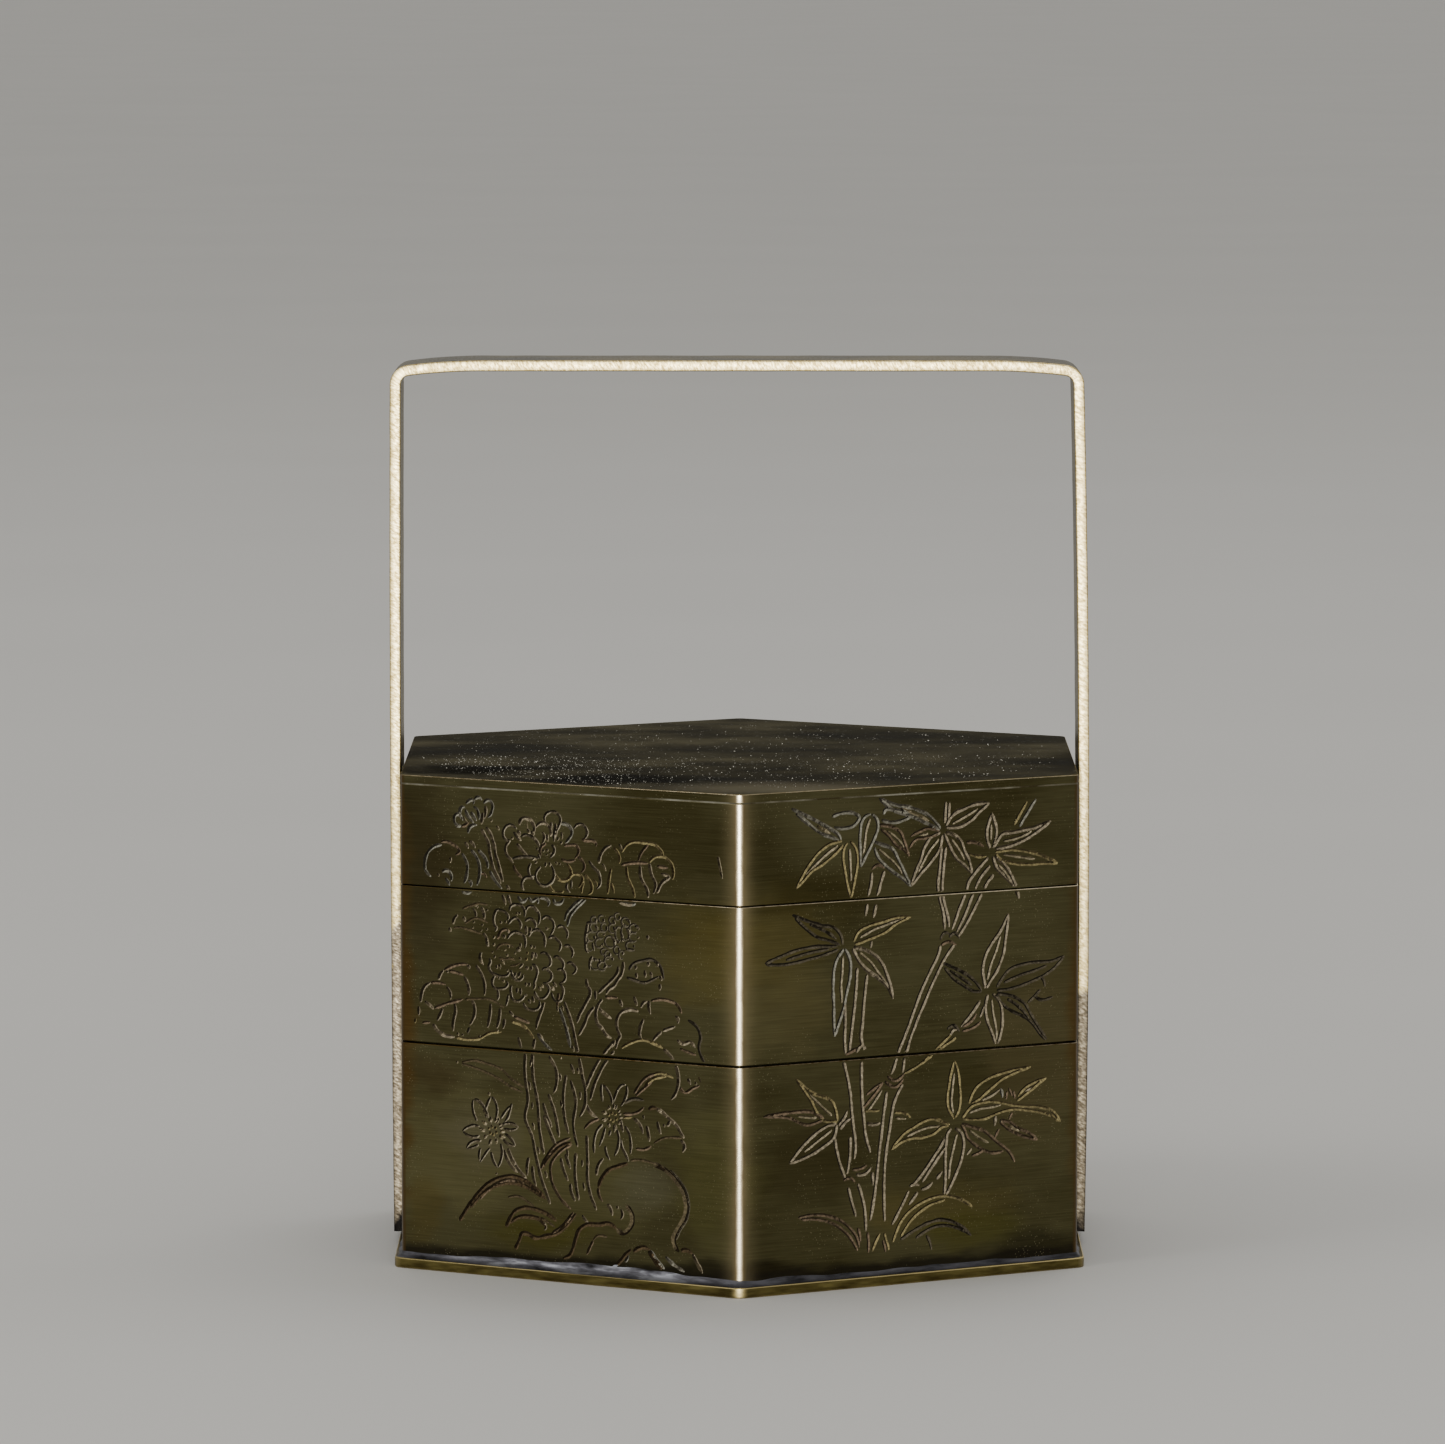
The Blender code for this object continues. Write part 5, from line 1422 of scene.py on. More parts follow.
def makeWallBrass():
    # rolled brass, aged to a dark olive with paler clouds, brushed along the wall, its bends and edges
    # rubbed bright, with a painted highlight down the front corner and on the rims
    metal, tree, shader, inMm = newMaterial("agedBrushedBrass", {"Metallic": 1.0})
    cloud = mottle(tree, inMm, wallBrass["cloud"], 0.34, 0.66, 4.0, 4.0)
    streak = mottle(tree, inMm, wallBrass["streak"], 0.30, 0.70, 3.0)
    partly = {"operation": "MULTIPLY_ADD", 1: 0.3, "use_clamp": True}
    share = addNode(tree, "Math", partly, {0: streak, 2: cloud})
    stops = tuple(zip((0.0, 1.0), wallBrass["colours"]))
    colour = addNode(tree, "ValToRGB", {"stops": stops}, {"Fac": share})
    for number, (wall, u, z, reach, up, patch, strength) in enumerate(wallBrass["patches"]):
        ragged = mottle(tree, inMm, (6, 6, 3), 0.2, 0.8, 3.0, 11.0 + number)
        near = patchAt(tree, inMm, placeOnWall(wall, u, z), (reach, reach, up), ragged)
        share = addNode(tree, "Math", {"operation": "MULTIPLY", 1: strength}, {0: near})
        colour = addNode(tree, "MixRGB", {"Color2": patch}, {"Fac": share, "Color1": colour})
    low, high = wallBrass["brushing"]
    brushed = addNode(tree, "MapRange", {"To Min": low, "To Max": high}, {"Value": streak})
    colour = addNode(tree, "VectorMath", {"operation": "SCALE"}, {0: colour, "Scale": brushed})
    colour = stainFoot(tree, inMm, colour)
    colour = strewDirt(tree, inMm, colour)
    # handled brown where it is rubbed a little
    rubbed = addNode(tree, "Attribute", {"attribute_name": "rubbed"})
    broken = mottle(tree, inMm, (0.5, 0.5, 1.6), 0.25, 0.6, 3.0, 5.0)
    broken = addNode(tree, "MapRange", {"To Min": 0.72, "To Max": 1.12}, {"Value": broken})
    kept = {"operation": "MULTIPLY", "use_clamp": True}
    wornAndHighlight = addNode(tree, "Math", kept, {0: (rubbed, "Fac"), 1: broken})
    brown = addNode(tree, "MapRange", {"From Min": 0.05, "From Max": 0.30}, {"Value": wornAndHighlight})
    colour = addNode(tree, "MixRGB", {"Color2": wallBrass["rubbed"][0]}, {"Fac": brown, "Color1": colour})
    colour = paintCornerHighlight(tree, inMm, colour)
    # bare metal where it is rubbed most, and the painted highlight of the front corner and rims
    bright = addNode(tree, "MapRange", {"From Min": 0.30, "From Max": 0.85}, {"Value": wornAndHighlight})
    colour = addNode(tree, "MixRGB", {"Color2": wallBrass["rubbed"][1]}, {"Fac": bright, "Color1": colour})
    low, high = wallBrass["roughness"]
    rough = addNode(tree, "MapRange", {"To Min": low, "To Max": high}, {"Value": cloud})
    grooves = wallBrass["grooves"]
    spacing = (1 / grooves["length"], 1 / grooves["length"], 1 / grooves["spacing"])
    lines = addNode(tree, "Mapping", {"Scale": spacing}, {"Vector": inMm})
    lines = addNode(tree, "TexNoise", {"Scale": 1.0, "Detail": 2.0}, {"Vector": lines})
    relief = {"Strength": 0.35, "Distance": grooves["depth"] * mm}
    bump = addNode(tree, "Bump", relief, {"Height": lines})
    plug(tree, shader, colour, rough, bump)
    return metal


cutPolish = {"sheen": "#4a4232", "roughness": 0.7, "bead": 0.24, "blotches": (0.42, 1.2)}


def makeCutBrass():
    # engraved lines with polish dried in them: matt and blotchy, one bank a painted highlight and the other
    # painted shade
    look = {"Roughness": cutPolish["roughness"], "Specular Tint": cutPolish["sheen"]}
    metal, tree, shader, inMm = newMaterial("polishFilledCutsPaintedShade", look)
    tone = addNode(tree, "Attribute", {"attribute_name": "cutColour"})
    beads = mottle(tree, inMm, [cutPolish["bead"]] * 3, 0.3, 0.7, 2.0)
    low, high = cutPolish["blotches"]
    beads = addNode(tree, "MapRange", {"To Min": low, "To Max": high}, {"Value": beads})
    shade = addNode(tree, "VectorMath", {"operation": "SCALE"}, {0: tone, "Scale": beads})
    plug(tree, shader, shade)
    return metal


topBrass = {
    "colours": ("#4b483e", "#77725f"),
    "cloud": (14, 9, 9),  # mm across its clouds
    "sheen": "#64625c",
    "edge": "#a39360",  # where its edge is rubbed, partly a painted highlight
    "roughness": (0.38, 0.55),
    # fine dust that lies in the metal's colour: mm between specks, how rare they are, and a shift
    "specks": ((0.42, 0.50, 0.0), (0.8, 0.58, 30.0)),
    "speckColour": "#8b897f",
    "height": 48.0,  # of the patches' middles
    # painted reflection, paler at the front and darker behind: x, y, reach across and back, colour, strength
    "patches": (
        (4.0, -32.0, 15.0, 7.0, "#958e79", 0.8),
        (-26.0, -16.0, 11.0, 8.0, "#26241f", 0.85),
        (-13.0, -24.0, 11.0, 7.0, "#26241f", 0.85),
    ),
}


def makeTopBrass():
    # the lid's top: brass gone dull and grey, with a painted reflection paler and darker in patches, and
    # specks of matt dust
    metal, tree, shader, inMm = newMaterial("dullGreyedBrass", {"Specular Tint": topBrass["sheen"]})
    cloud = mottle(tree, inMm, topBrass["cloud"], 0.32, 0.68, 4.0)
    stops = tuple(zip((0.0, 1.0), topBrass["colours"]))
    colour = addNode(tree, "ValToRGB", {"stops": stops}, {"Fac": cloud})
    for x, y, reach, deep, patch, strength in topBrass["patches"]:
        near = patchAt(tree, inMm, (x, y, topBrass["height"]), (reach, deep, 6.0), cloud)
        share = addNode(tree, "Math", {"operation": "MULTIPLY", 1: strength}, {0: near})
        colour = addNode(tree, "MixRGB", {"Color2": patch}, {"Fac": share, "Color1": colour})
    dirt = None
    for size, low, shift in topBrass["specks"]:
        grain = addNode(tree, "Mapping", {"Scale": [1 / size] * 3, "Location": [shift] * 3}, {"Vector": inMm})
        specks = addNode(tree, "TexVoronoi", {"Scale": 1.0}, {"Vector": grain})
        keep = mottle(tree, inMm, (2.2, 1.6, 2.2), low, low + 0.12, 3.0, shift)
        small = addNode(tree, "MapRange", {"From Min": 0.22, "From Max": 0.10}, {"Value": specks})
        share = addNode(tree, "Math", {"operation": "MULTIPLY"}, {0: small, 1: keep})
        dirt = addNode(tree, "Math", {"operation": "MAXIMUM"}, {0: share, 1: dirt}) if dirt else share
    colour = addNode(tree, "MixRGB", {"Color2": topBrass["speckColour"]}, {"Fac": dirt, "Color1": colour})
    # the edge rubbed bright, partly a painted highlight
    rubbed = addNode(tree, "Attribute", {"attribute_name": "rubbed"})
    edge = addNode(tree, "MapRange", {"From Min": 0.2, "From Max": 1.0}, {"Value": (rubbed, "Fac")})
    colour = addNode(tree, "MixRGB", {"Color2": topBrass["edge"]}, {"Fac": edge, "Color1": colour})
    bare = addNode(tree, "Math", {"operation": "SUBTRACT", 0: 1.0}, {1: dirt})
    tree.links.new(bare.outputs[0], shader.inputs["Metallic"])
    low, high = topBrass["roughness"]
    rough = addNode(tree, "MapRange", {"To Min": low, "To Max": high}, {"Value": cloud})
    plug(tree, shader, colour, rough)
    return metal


plateBrass = {
    "stops": ((0.0, "#4c4223"), (0.6, "#655b33"), (1.0, "#766c3e")),
    "spots": (3, 3, 0.5),  # mm across
    "edge": "#dcc88d",
    "roughness": (0.35, 0.55),
}


def makePlateBrass():
    # the base plate: brown tarnish in spots over brass, its top edge worn bright, brighter to the right as a
    # painted highlight
    metal, tree, shader, inMm = newMaterial("tarnishedPlateBrass", {"Metallic": 1.0})
    spots = mottle(tree, inMm, plateBrass["spots"], 0.33, 0.67, 3.0)
    colour = addNode(tree, "ValToRGB", {"stops": plateBrass["stops"]}, {"Fac": spots})
    rubbed = addNode(tree, "Attribute", {"attribute_name": "rubbed"})
    edge = addNode(tree, "MapRange", {"From Min": 0.1, "From Max": 1.0}, {"Value": (rubbed, "Fac")})
    colour = addNode(tree, "MixRGB", {"Color2": plateBrass["edge"]}, {"Fac": edge, "Color1": colour})
    low, high = plateBrass["roughness"]
    rough = addNode(tree, "MapRange", {"To Min": low, "To Max": high}, {"Value": spots})
    plug(tree, shader, colour, rough)
    return metal


stripBrass = {
    "bare": ((0.0, "#bfa76c"), (0.4, "#e0c88a"), (1.0, "#fde8b0")),  # its cut edges, from file marks to metal
    "grey": ((0.0, "#665b49"), (0.5, "#8d806a"), (1.0, "#bcae92")),  # the same where solder greyed them
    "broad": ((0.1, "#352e18"), (0.6, "#4d4423"), (1.0, "#6a5d33")),  # its broad faces
    "marks": (0.25, 0.42, 0.3),  # mm along, across and through a mark
    "markDepth": 0.02,
    "drawn": (9, 0.4, 9),  # mm along and between the lines of its drawing
    "cloud": (11, 8, 14),
    "dimmer": (-10, 30, 0.64),  # the grey falls from full at one x to this share at the other
    "soldered": (27.4, 26.0),  # mm up where the grey ends, and where it is full
    "foot": ("#191715", 5.2, 2.8),  # the soot at the foot, and the heights of its fading
    "roughness": (0.45, 0.32),
}


def makeStripBrass():
    # the handle's strip: drawn brass, handled bright on its cut edges, greyed by solder low down
    metal, tree, shader, inMm = newMaterial("handledStripBrass", {"Metallic": 1.0})
    run = addNode(tree, "Attribute", {"attribute_name": "along"})
    across = addNode(tree, "SeparateXYZ", links={0: inMm})
    through = addNode(tree, "Math", {"operation": "ADD"}, {0: (across, "X"), 1: (across, "Z")})
    place = addNode(tree, "CombineXYZ", links={"X": (run, "Fac"), "Y": (across, "Y"), "Z": through})
    hatch = addNode(tree, "Mapping", {"Scale": [1 / size for size in stripBrass["marks"]]}, {"Vector": place})
    hatch = addNode(tree, "TexNoise", {"Scale": 1.0, "Detail": 3.0}, {"Vector": hatch})
    marks = addNode(tree, "MapRange", {"From Min": 0.34, "From Max": 0.66}, {"Value": hatch})
    bare = addNode(tree, "ValToRGB", {"stops": stripBrass["bare"]}, {"Fac": marks})
    grey = addNode(tree, "ValToRGB", {"stops": stripBrass["grey"]}, {"Fac": marks})
    left, right, least = stripBrass["dimmer"]
    fade = {"From Min": left, "From Max": right, "To Min": 1.0, "To Max": least}
    dimmer = addNode(tree, "MapRange", fade, {"Value": across})
    grey = addNode(tree, "VectorMath", {"operation": "SCALE"}, {0: grey, "Scale": dimmer})
    # how high the solder's grey reaches, more on the left
    uneven = mottle(tree, inMm, (3, 3, 3), 0.3, 0.7, 3.0)
    level = addNode(tree, "Math", {"operation": "MULTIPLY_ADD", 1: 3.0}, {0: uneven, 2: (across, "Z")})
    patchy = mottle(tree, inMm, (4, 4, 4), 0.3, 0.7, 2.0, 9.0)
    higher = addNode(tree, "MapRange", {"From Min": 5, "From Max": -5, "To Max": -12}, {"Value": across})
    higher = addNode(tree, "Math", {"operation": "MULTIPLY"}, {0: higher, 1: patchy})
    soldered = addNode(tree, "Math", {"operation": "ADD"}, {0: level, 1: higher})
    high, low = stripBrass["soldered"]
    soldered = addNode(tree, "MapRange", {"From Min": high, "From Max": low}, {"Value": soldered})
    colour = addNode(tree, "MixRGB", links={"Fac": soldered, "Color1": bare, "Color2": grey})
    # the broad faces: darker, with the lines of the drawing
    flat = addNode(tree, "Attribute", {"attribute_name": "flat"})
    drawn = addNode(tree, "Mapping", {"Scale": [1 / size for size in stripBrass["drawn"]]}, {"Vector": place})
    drawn = addNode(tree, "TexNoise", {"Scale": 1.0, "Detail": 2.0}, {"Vector": drawn})
    cloud = mottle(tree, inMm, stripBrass["cloud"], 0.3, 0.7, 4.0, 5.0)
    partly = {"operation": "MULTIPLY_ADD", 1: 0.5, "use_clamp": True}
    dulled = addNode(tree, "Math", partly, {0: drawn, 2: cloud})
    broad = addNode(tree, "ValToRGB", {"stops": stripBrass["broad"]}, {"Fac": dulled})
    face = addNode(tree, "MixRGB", links={"Fac": (flat, "Fac"), "Color1": colour, "Color2": broad})
    soot, high, low = stripBrass["foot"]
    foot = addNode(tree, "MapRange", {"From Min": high, "From Max": low}, {"Value": level})
    colour = addNode(tree, "MixRGB", {"Color2": soot}, {"Fac": foot, "Color1": face})
    low, high = stripBrass["roughness"]
    rough = addNode(tree, "MapRange", {"To Min": low, "To Max": high}, {"Value": marks})
    relief = {"Strength": 0.15, "Distance": stripBrass["markDepth"] * mm}
    bump = addNode(tree, "Bump", relief, {"Height": hatch})
    plug(tree, shader, colour, rough, bump)
    return metal


# solder, by its material: dark, middle and pale, mm across its blotches, and what is left of its painted
# shine away from the front left
solderLooks = {
    "flowedTinSolder": (("#2b2a2b", "#66656a", "#a9aab0"), (4, 4, 0.8), 0.5),
    "thinTinSolder": (("#453e28", "#77725f", "#aaa797"), (5, 5, 5), 1.0),
}


def makeSolder(name):
    # tin and lead solder, flowed and dulled to blotches of grey
    colours, spread, away = solderLooks[name]
    metal, tree, shader, inMm = newMaterial(name, {"Metallic": 1.0})
    spots = mottle(tree, inMm, spread, 0.36, 0.66, 4.0)
    # painted shine: brightest where x is near -15 mm, on the left, and duller away from it
    side = addNode(tree, "SeparateXYZ", links={0: inMm})
    side = addNode(tree, "Math", {"operation": "ADD", 1: 15.0}, {0: side})
    side = addNode(tree, "Math", {"operation": "ABSOLUTE"}, {0: side})
    fade = {"From Min": 6.0, "From Max": 14.0, "To Min": 1.0, "To Max": away}
    duller = addNode(tree, "MapRange", fade, {"Value": side})
    spots = addNode(tree, "Math", {"operation": "MULTIPLY"}, {0: spots, 1: duller})
    stops = tuple(zip((0.0, 0.5, 1.0), colours))
    colour = addNode(tree, "ValToRGB", {"stops": stops}, {"Fac": spots})
    rough = addNode(tree, "MapRange", {"To Min": 0.55, "To Max": 0.36}, {"Value": spots})
    bump = addNode(tree, "Bump", {"Strength": 0.3, "Distance": 0.05 * mm}, {"Height": spots})
    plug(tree, shader, colour, rough, bump)
    return metal


dustLook = {"colours": ("#8d8a7f", "#dedacc"), "spots": 1.5, "roughness": 0.9}


def makeDust():
    # pale grey crumbs of household dust, quite matt
    crumbs, tree, shader, inMm = newMaterial("mattDust", {"Roughness": dustLook["roughness"]})
    uneven = mottle(tree, inMm, [dustLook["spots"]] * 3, 0.3, 0.7, 1.0)
    darker, paler = dustLook["colours"]
    colour = addNode(tree, "MixRGB", {"Color1": darker, "Color2": paler}, {"Fac": uneven})
    plug(tree, shader, colour)
    return crumbs


wallMetal = makeWallBrass()
dustMatt = makeDust()
cutMetal = makeCutBrass()
topMetal = makeTopBrass()
plateMetal = makePlateBrass()
stripMetal = makeStripBrass()
solder = makeSolder("flowedTinSolder")
seamSolder = makeSolder("thinTinSolder")
print("metals: aged, cut, greyed, tarnished and handled brass, and solder")


# Tiers. Heights come from the solids' boxes.

def rimsOf(node):
    low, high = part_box(node)
    return low.z / mm, high.z / mm


def engravedTier(name, profile, closed, band):
    # sweeps the profile and sets an engraved panel in each front wall, between rings band and band + 1
    points, wornAndHighlight, faces = sweep(profile, closed, band)
    slots = [0] * len(faces)
    colours = [[(0, 0, 0, 1)] * len(face) for face in faces]
    perWall = body["bendSteps"] + 3
    count = 6 * perWall
    for drawing, wall in frontWalls.items():
        corner, across, outwards = wallPlane(wall)
        first = perWall * wall + body["bendSteps"] + 1
        ends = [np.array(points[band * count + first]), np.array(points[(band + 1) * count + first + 1])]
        low, high = [((end - corner) @ across, end[2]) for end in ends]
        strokes = []
        for number, (kind, places) in enumerate(drawings[drawing]):
            strokes.append(strokeBanks(kind, places, burin["apart"] * number))
        solid, triangles, cut, shades = engravedPanel(strokes, low, high)
        base = len(points)
        for u, z, out in solid:
            points.append(tuple(corner + across * u + outwards * out + np.array((0, 0, z))))
        wornAndHighlight += [0.0] * len(solid)
        faces += [tuple(base + vertex for vertex in triangle) for triangle in triangles]
        slots += [int(isCut) for isCut in cut]
        # painted shade: the bamboo wall's cuts are darkened
        shades[:, :3] *= burin["dimmer"][drawing]
        colours += [[tuple(shade)] * 3 for shade in shades]
    flat = [colour for corners in colours for colour in corners]
    piece = makeMesh(name, points, faces, [wallMetal, cutMetal], slots, wornAndHighlight, flat)
    tidyMesh(piece)
    return piece


def outerWall(foot, rim, rimRub):
    # the wall from its foot to its rim; the engraved band lies between its two middle points
    edge, rimEdge, border = body["edge"], body["rimEdge"], body["rimBorder"]
    return [
        (0, foot, edge, body["footRub"]),
        (0, foot + edge + border, 0, 0),
        (0, rim - rimEdge - border, 0, 0),
        (0, rim, rimEdge, rimRub),
    ]


def lipAbove(rim):
    inside, edge, rub = body["wall"] + body["lipGap"], body["edge"], body["lipRub"]
    top = rim + body["lipHeight"]
    return [
        (inside, rim, 0, 0),
        (inside, top, edge, rub),
        (inside + body["lipSheet"], top, edge, rub),
        (inside + body["lipSheet"], rim - body["lipDepth"], 0, 0),
        (body["wall"], rim - body["lipDepth"], 0, 0),
    ]


def bandOf(profile):
    # the ring at the foot of the engraved band, the tallest step of the outer wall
    outer = [i for i in range(len(profile) - 1) if profile[i][0] == 0 and profile[i + 1][0] == 0]
    return max(outer, key=lambda i: profile[i + 1][1] - profile[i][1])


def makeBottomTray():
    foot, top = rimsOf("bottom_tray")
    rim = top - body["lipHeight"]
    points = outerWall(foot, rim + body["seams"]["low"], body["lowRim"]) + lipAbove(rim)
    profile = filleted(points + [(body["wall"], foot, body["edge"], 0)])
    tray = engravedTier("bottomTray", profile, True, bandOf(profile))
    dress(tray, "bottom_tray")


def makeMiddleTray():
    foot, top = rimsOf("middle_tray")
    rim = top - body["lipHeight"]
    underside = rimsOf("bottom_tray")[1] + body["lipGap"]
    foot -= body["seams"]["low"]
    points = [(body["wall"], underside, 0, 0), (body["wall"], foot, body["edge"], 0)]
    points += outerWall(foot, rim + body["seams"]["high"], body["highRim"]) + lipAbove(rim)
    profile = filleted(points + [(body["wall"], underside + body["floorSheet"], 0, 0)])
    tray = engravedTier("middleTray", profile, False, bandOf(profile))
    dress(tray, "middle_tray")


def makeLidWalls():
    foot, top = rimsOf("lid_walls")
    foot -= body["seams"]["high"]
    top += body["lidRise"][0]
    points = outerWall(foot, top, 0)
    points += [(body["wall"], top, body["edge"], 0), (body["wall"], foot, body["edge"], 0)]
    profile = filleted(points)
    walls = engravedTier("lidWalls", profile, True, bandOf(profile))
    dress(walls, "lid_walls")


dust = {
    "crumbs": 1600,  # on the lid's top
    "least": 0.025,  # half sizes in mm
    "most": 0.075,
    "lumps": (1, 1, 1, 1, 2),  # one of these says how many lumps make a crumb
    "lumpSizes": (0.7, 1.2),  # a lump's size as a share of its crumb's, between these
    "squash": 0.8,
    "reach": 31.5,  # mm from the lid's middle
    "even": 0.12,  # share of the crumbs that stay anywhere, and how many more in the front half
    "front": 0.1,
    "heap": (-19, 12, -2, 0.8),  # more about this x, over so many mm, where y is below this, by this share
    "seed": 11,
}


def strewDust(piece, height):
    # small lumps of dust, thicker towards the front and the left
    pick = random.Random(dust["seed"])
    middle, fade, line, more = dust["heap"]
    shape = bmesh.new()
    shape.from_mesh(piece.data)
    made = 0
    while made < dust["crumbs"]:
        angle, reach = pick.uniform(0, math.tau), dust["reach"] * math.sqrt(pick.random())
        x, y = reach * math.cos(angle), reach * math.sin(angle)
        heaped = more * math.exp(-((x - middle) / fade) ** 2) * (y < line)
        if pick.random() > dust["even"] + dust["front"] * (y < 0) + heaped:
            continue
        made += 1
        size = dust["least"] + (dust["most"] - dust["least"]) * pick.random() ** 2
        for step in range(pick.choice(dust["lumps"])):
            across = x + step * pick.uniform(-1, 1) * size
            back = y + step * pick.uniform(-1, 1) * size
            place = Vector((across, back, height + size / 4))
            radius = size * pick.uniform(*dust["lumpSizes"]) * mm
            lump = bmesh.ops.create_icosphere(shape, subdivisions=1, radius=radius)["verts"]
            for vertex in lump:
                flat = vertex.co.z * dust["squash"]
                vertex.co = Vector((vertex.co.x, vertex.co.y, flat)) + place * mm
            for face in {face for vertex in lump for face in vertex.link_faces}:
                face.material_index = 2
    shape.to_mesh(piece.data)
    shape.free()


topSheet = {
    "under": 0.4,  # mm that its underside reaches in, hidden by the solder
    "lowEdge": 0.03,  # roundings
    "edge": 0.10,
    "border": 0.3,  # from the upper edge down to where its side is flat
    "rings": (0.5, 1.5),  # insets of two rings that keep the edge's shading off the top
}


def makeLidTop():
    low, high = rimsOf("lid_top")
    low += body["lidRise"][1]
    profile = [(topSheet["under"], low, 0, 0), (0, low, topSheet["lowEdge"], 0)]
    profile += [(0, high - topSheet["border"], 0, 0), (0, high, topSheet["edge"], body["topRim"])]
    profile = filleted(profile + [(inset, high, 0, 0) for inset in topSheet["rings"]])
    points, wornAndHighlight, faces = sweep(profile, False)
    top = makeMesh("lidTop", points, faces, [topMetal, wallMetal, dustMatt], wornAndHighlight=wornAndHighlight)
    tidyMesh(top)
    for face in top.data.polygons:  # the sheet's edge has the walls' finish
        face.material_index = int(abs(face.normal.z) < 0.5)
    strewDust(top, high)
    dress(top, "lid_top")


plateSheet = {
    "bend": 1.5,  # radius of its corners, in mm
    "ring": 0.5,  # inset of the rings that keep the edges' shading off the flats
    "lowEdge": (0.15, 0.3),  # rounding, and how bright it is rubbed
    # its upper edge: rounding, and how bright it is rubbed, rising to the right as a painted highlight
    "edge": (0.12, (0.5, 1.0)),
}


def makeBasePlate():
    low, high = rimsOf("base_plate")
    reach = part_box("base_plate")[1].x / mm
    ring = plateSheet["ring"]
    profile = [(ring, low, 0, 0), (0, low, *plateSheet["lowEdge"]), (0, high, *plateSheet["edge"])]
    profile = filleted(profile + [(ring, high, 0, 0)])
    points, wornAndHighlight, faces = sweep(profile, False, reach=reach, bend=plateSheet["bend"])
    plate = makeMesh("basePlate", points, faces, [plateMetal], wornAndHighlight=wornAndHighlight)
    tidyMesh(plate)
    dress(plate, "base_plate")


makeBottomTray()
makeMiddleTray()
makeLidWalls()
makeLidTop()
makeBasePlate()
print("tiers, lid and base plate")


# Handle: one strip, bent by hand and soldered to the two side walls

handle = {
    "sheet": 1.06,
    "width": 9.0,
    "bendRadius": 1.45,  # at the middle of the sheet
    "shoulderRadius": 60.0,
    "shoulderAngle": math.radians(7),
    "arcSteps": 14,
    "bow": {-1: 0.15, 1: 0.45},  # how far an upright bulges at half height
    "lean": {-1: -0.15, 1: 0.35},  # how far its top leans in
    "edge": 0.13,
    "edgeSteps": 3,
    "lines": (-3.0, 0.0, 3.0),  # mm across, where a broad face has vertices of its own
    "station": 0.45,  # mm between two sections
    "uneven": 0.02,  # mm that its faces stray
    "waves": (0.35, 0.3),  # how often they do, per mm along and across
    "gap": 0.25,  # to the wall behind it
}


def arcPoints(centre, radius, start, end):
    count = handle["arcSteps"]
    turns = [start + (end - start) * step / count for step in range(count + 1)]
    return [(centre[0] + radius * math.cos(turn), centre[1] + radius * math.sin(turn)) for turn in turns]


def halfHandle(side):
    # the strip's middle line from a foot to the middle of the crossbar, as (x, z)
    foot = apothem + handle["gap"] + handle["sheet"] / 2
    low, top = rimsOf("handle")
    top -= handle["sheet"] / 2
    steepest = math.pi / 2 - handle["shoulderAngle"]
    run = handle["shoulderRadius"] * math.sin(handle["shoulderAngle"])
    drop = handle["shoulderRadius"] * (1 - math.cos(handle["shoulderAngle"]))
    bow, lean, bend = handle["bow"][side], handle["lean"][side], handle["bendRadius"]
    corner = (foot - lean - bend, top - drop - bend * math.sin(steepest))
    rise = corner[1] - low
    count = int(rise / handle["station"])
    points = []
    for step in range(count):
        share = step / count
        points.append((foot + bow * 4 * share * (1 - share) - lean * share, low + rise * share))
    points += arcPoints(corner, bend, 0, steepest)
    shoulder = (points[-1][0] - run, top - handle["shoulderRadius"])
    points += arcPoints(shoulder, handle["shoulderRadius"], steepest, math.pi / 2)[1:]
    return [(side * x, z) for x, z in points]


def handleLine():
    left, right = halfHandle(-1), halfHandle(1)
    gap = right[-1][0] - left[-1][0]
    between = int(gap / handle["station"])
    bar = [(left[-1][0] + gap * step / between, left[-1][1]) for step in range(1, between)]
    return np.array(left + bar + right[::-1])


def stripSection():
    # round the strip's section: place across, place outwards, and 1 where it belongs to a broad face
    halfWide, halfThick, edge = handle["width"] / 2, handle["sheet"] / 2, handle["edge"]
    section = []
    for sideY, sideN in ((-1, -1), (1, -1), (1, 1), (-1, 1)):
        first = math.atan2(sideN, sideY) - math.pi / 4
        for step in range(handle["edgeSteps"] + 1):
            turn = first + math.pi / 2 * step / handle["edgeSteps"]
            y = sideY * (halfWide - edge) + edge * math.cos(turn)
            n = sideN * (halfThick - edge) + edge * math.sin(turn)
            section.append((y, n, float(abs(sideY * (halfWide - edge) - y) < 0.02)))
        if sideY != sideN:
            section.append((sideY * halfWide, 0.0, 0.0))
        else:
            for y in handle["lines"] if sideN < 0 else handle["lines"][::-1]:
                section.append((y, sideN * halfThick, 1.0))
    return section


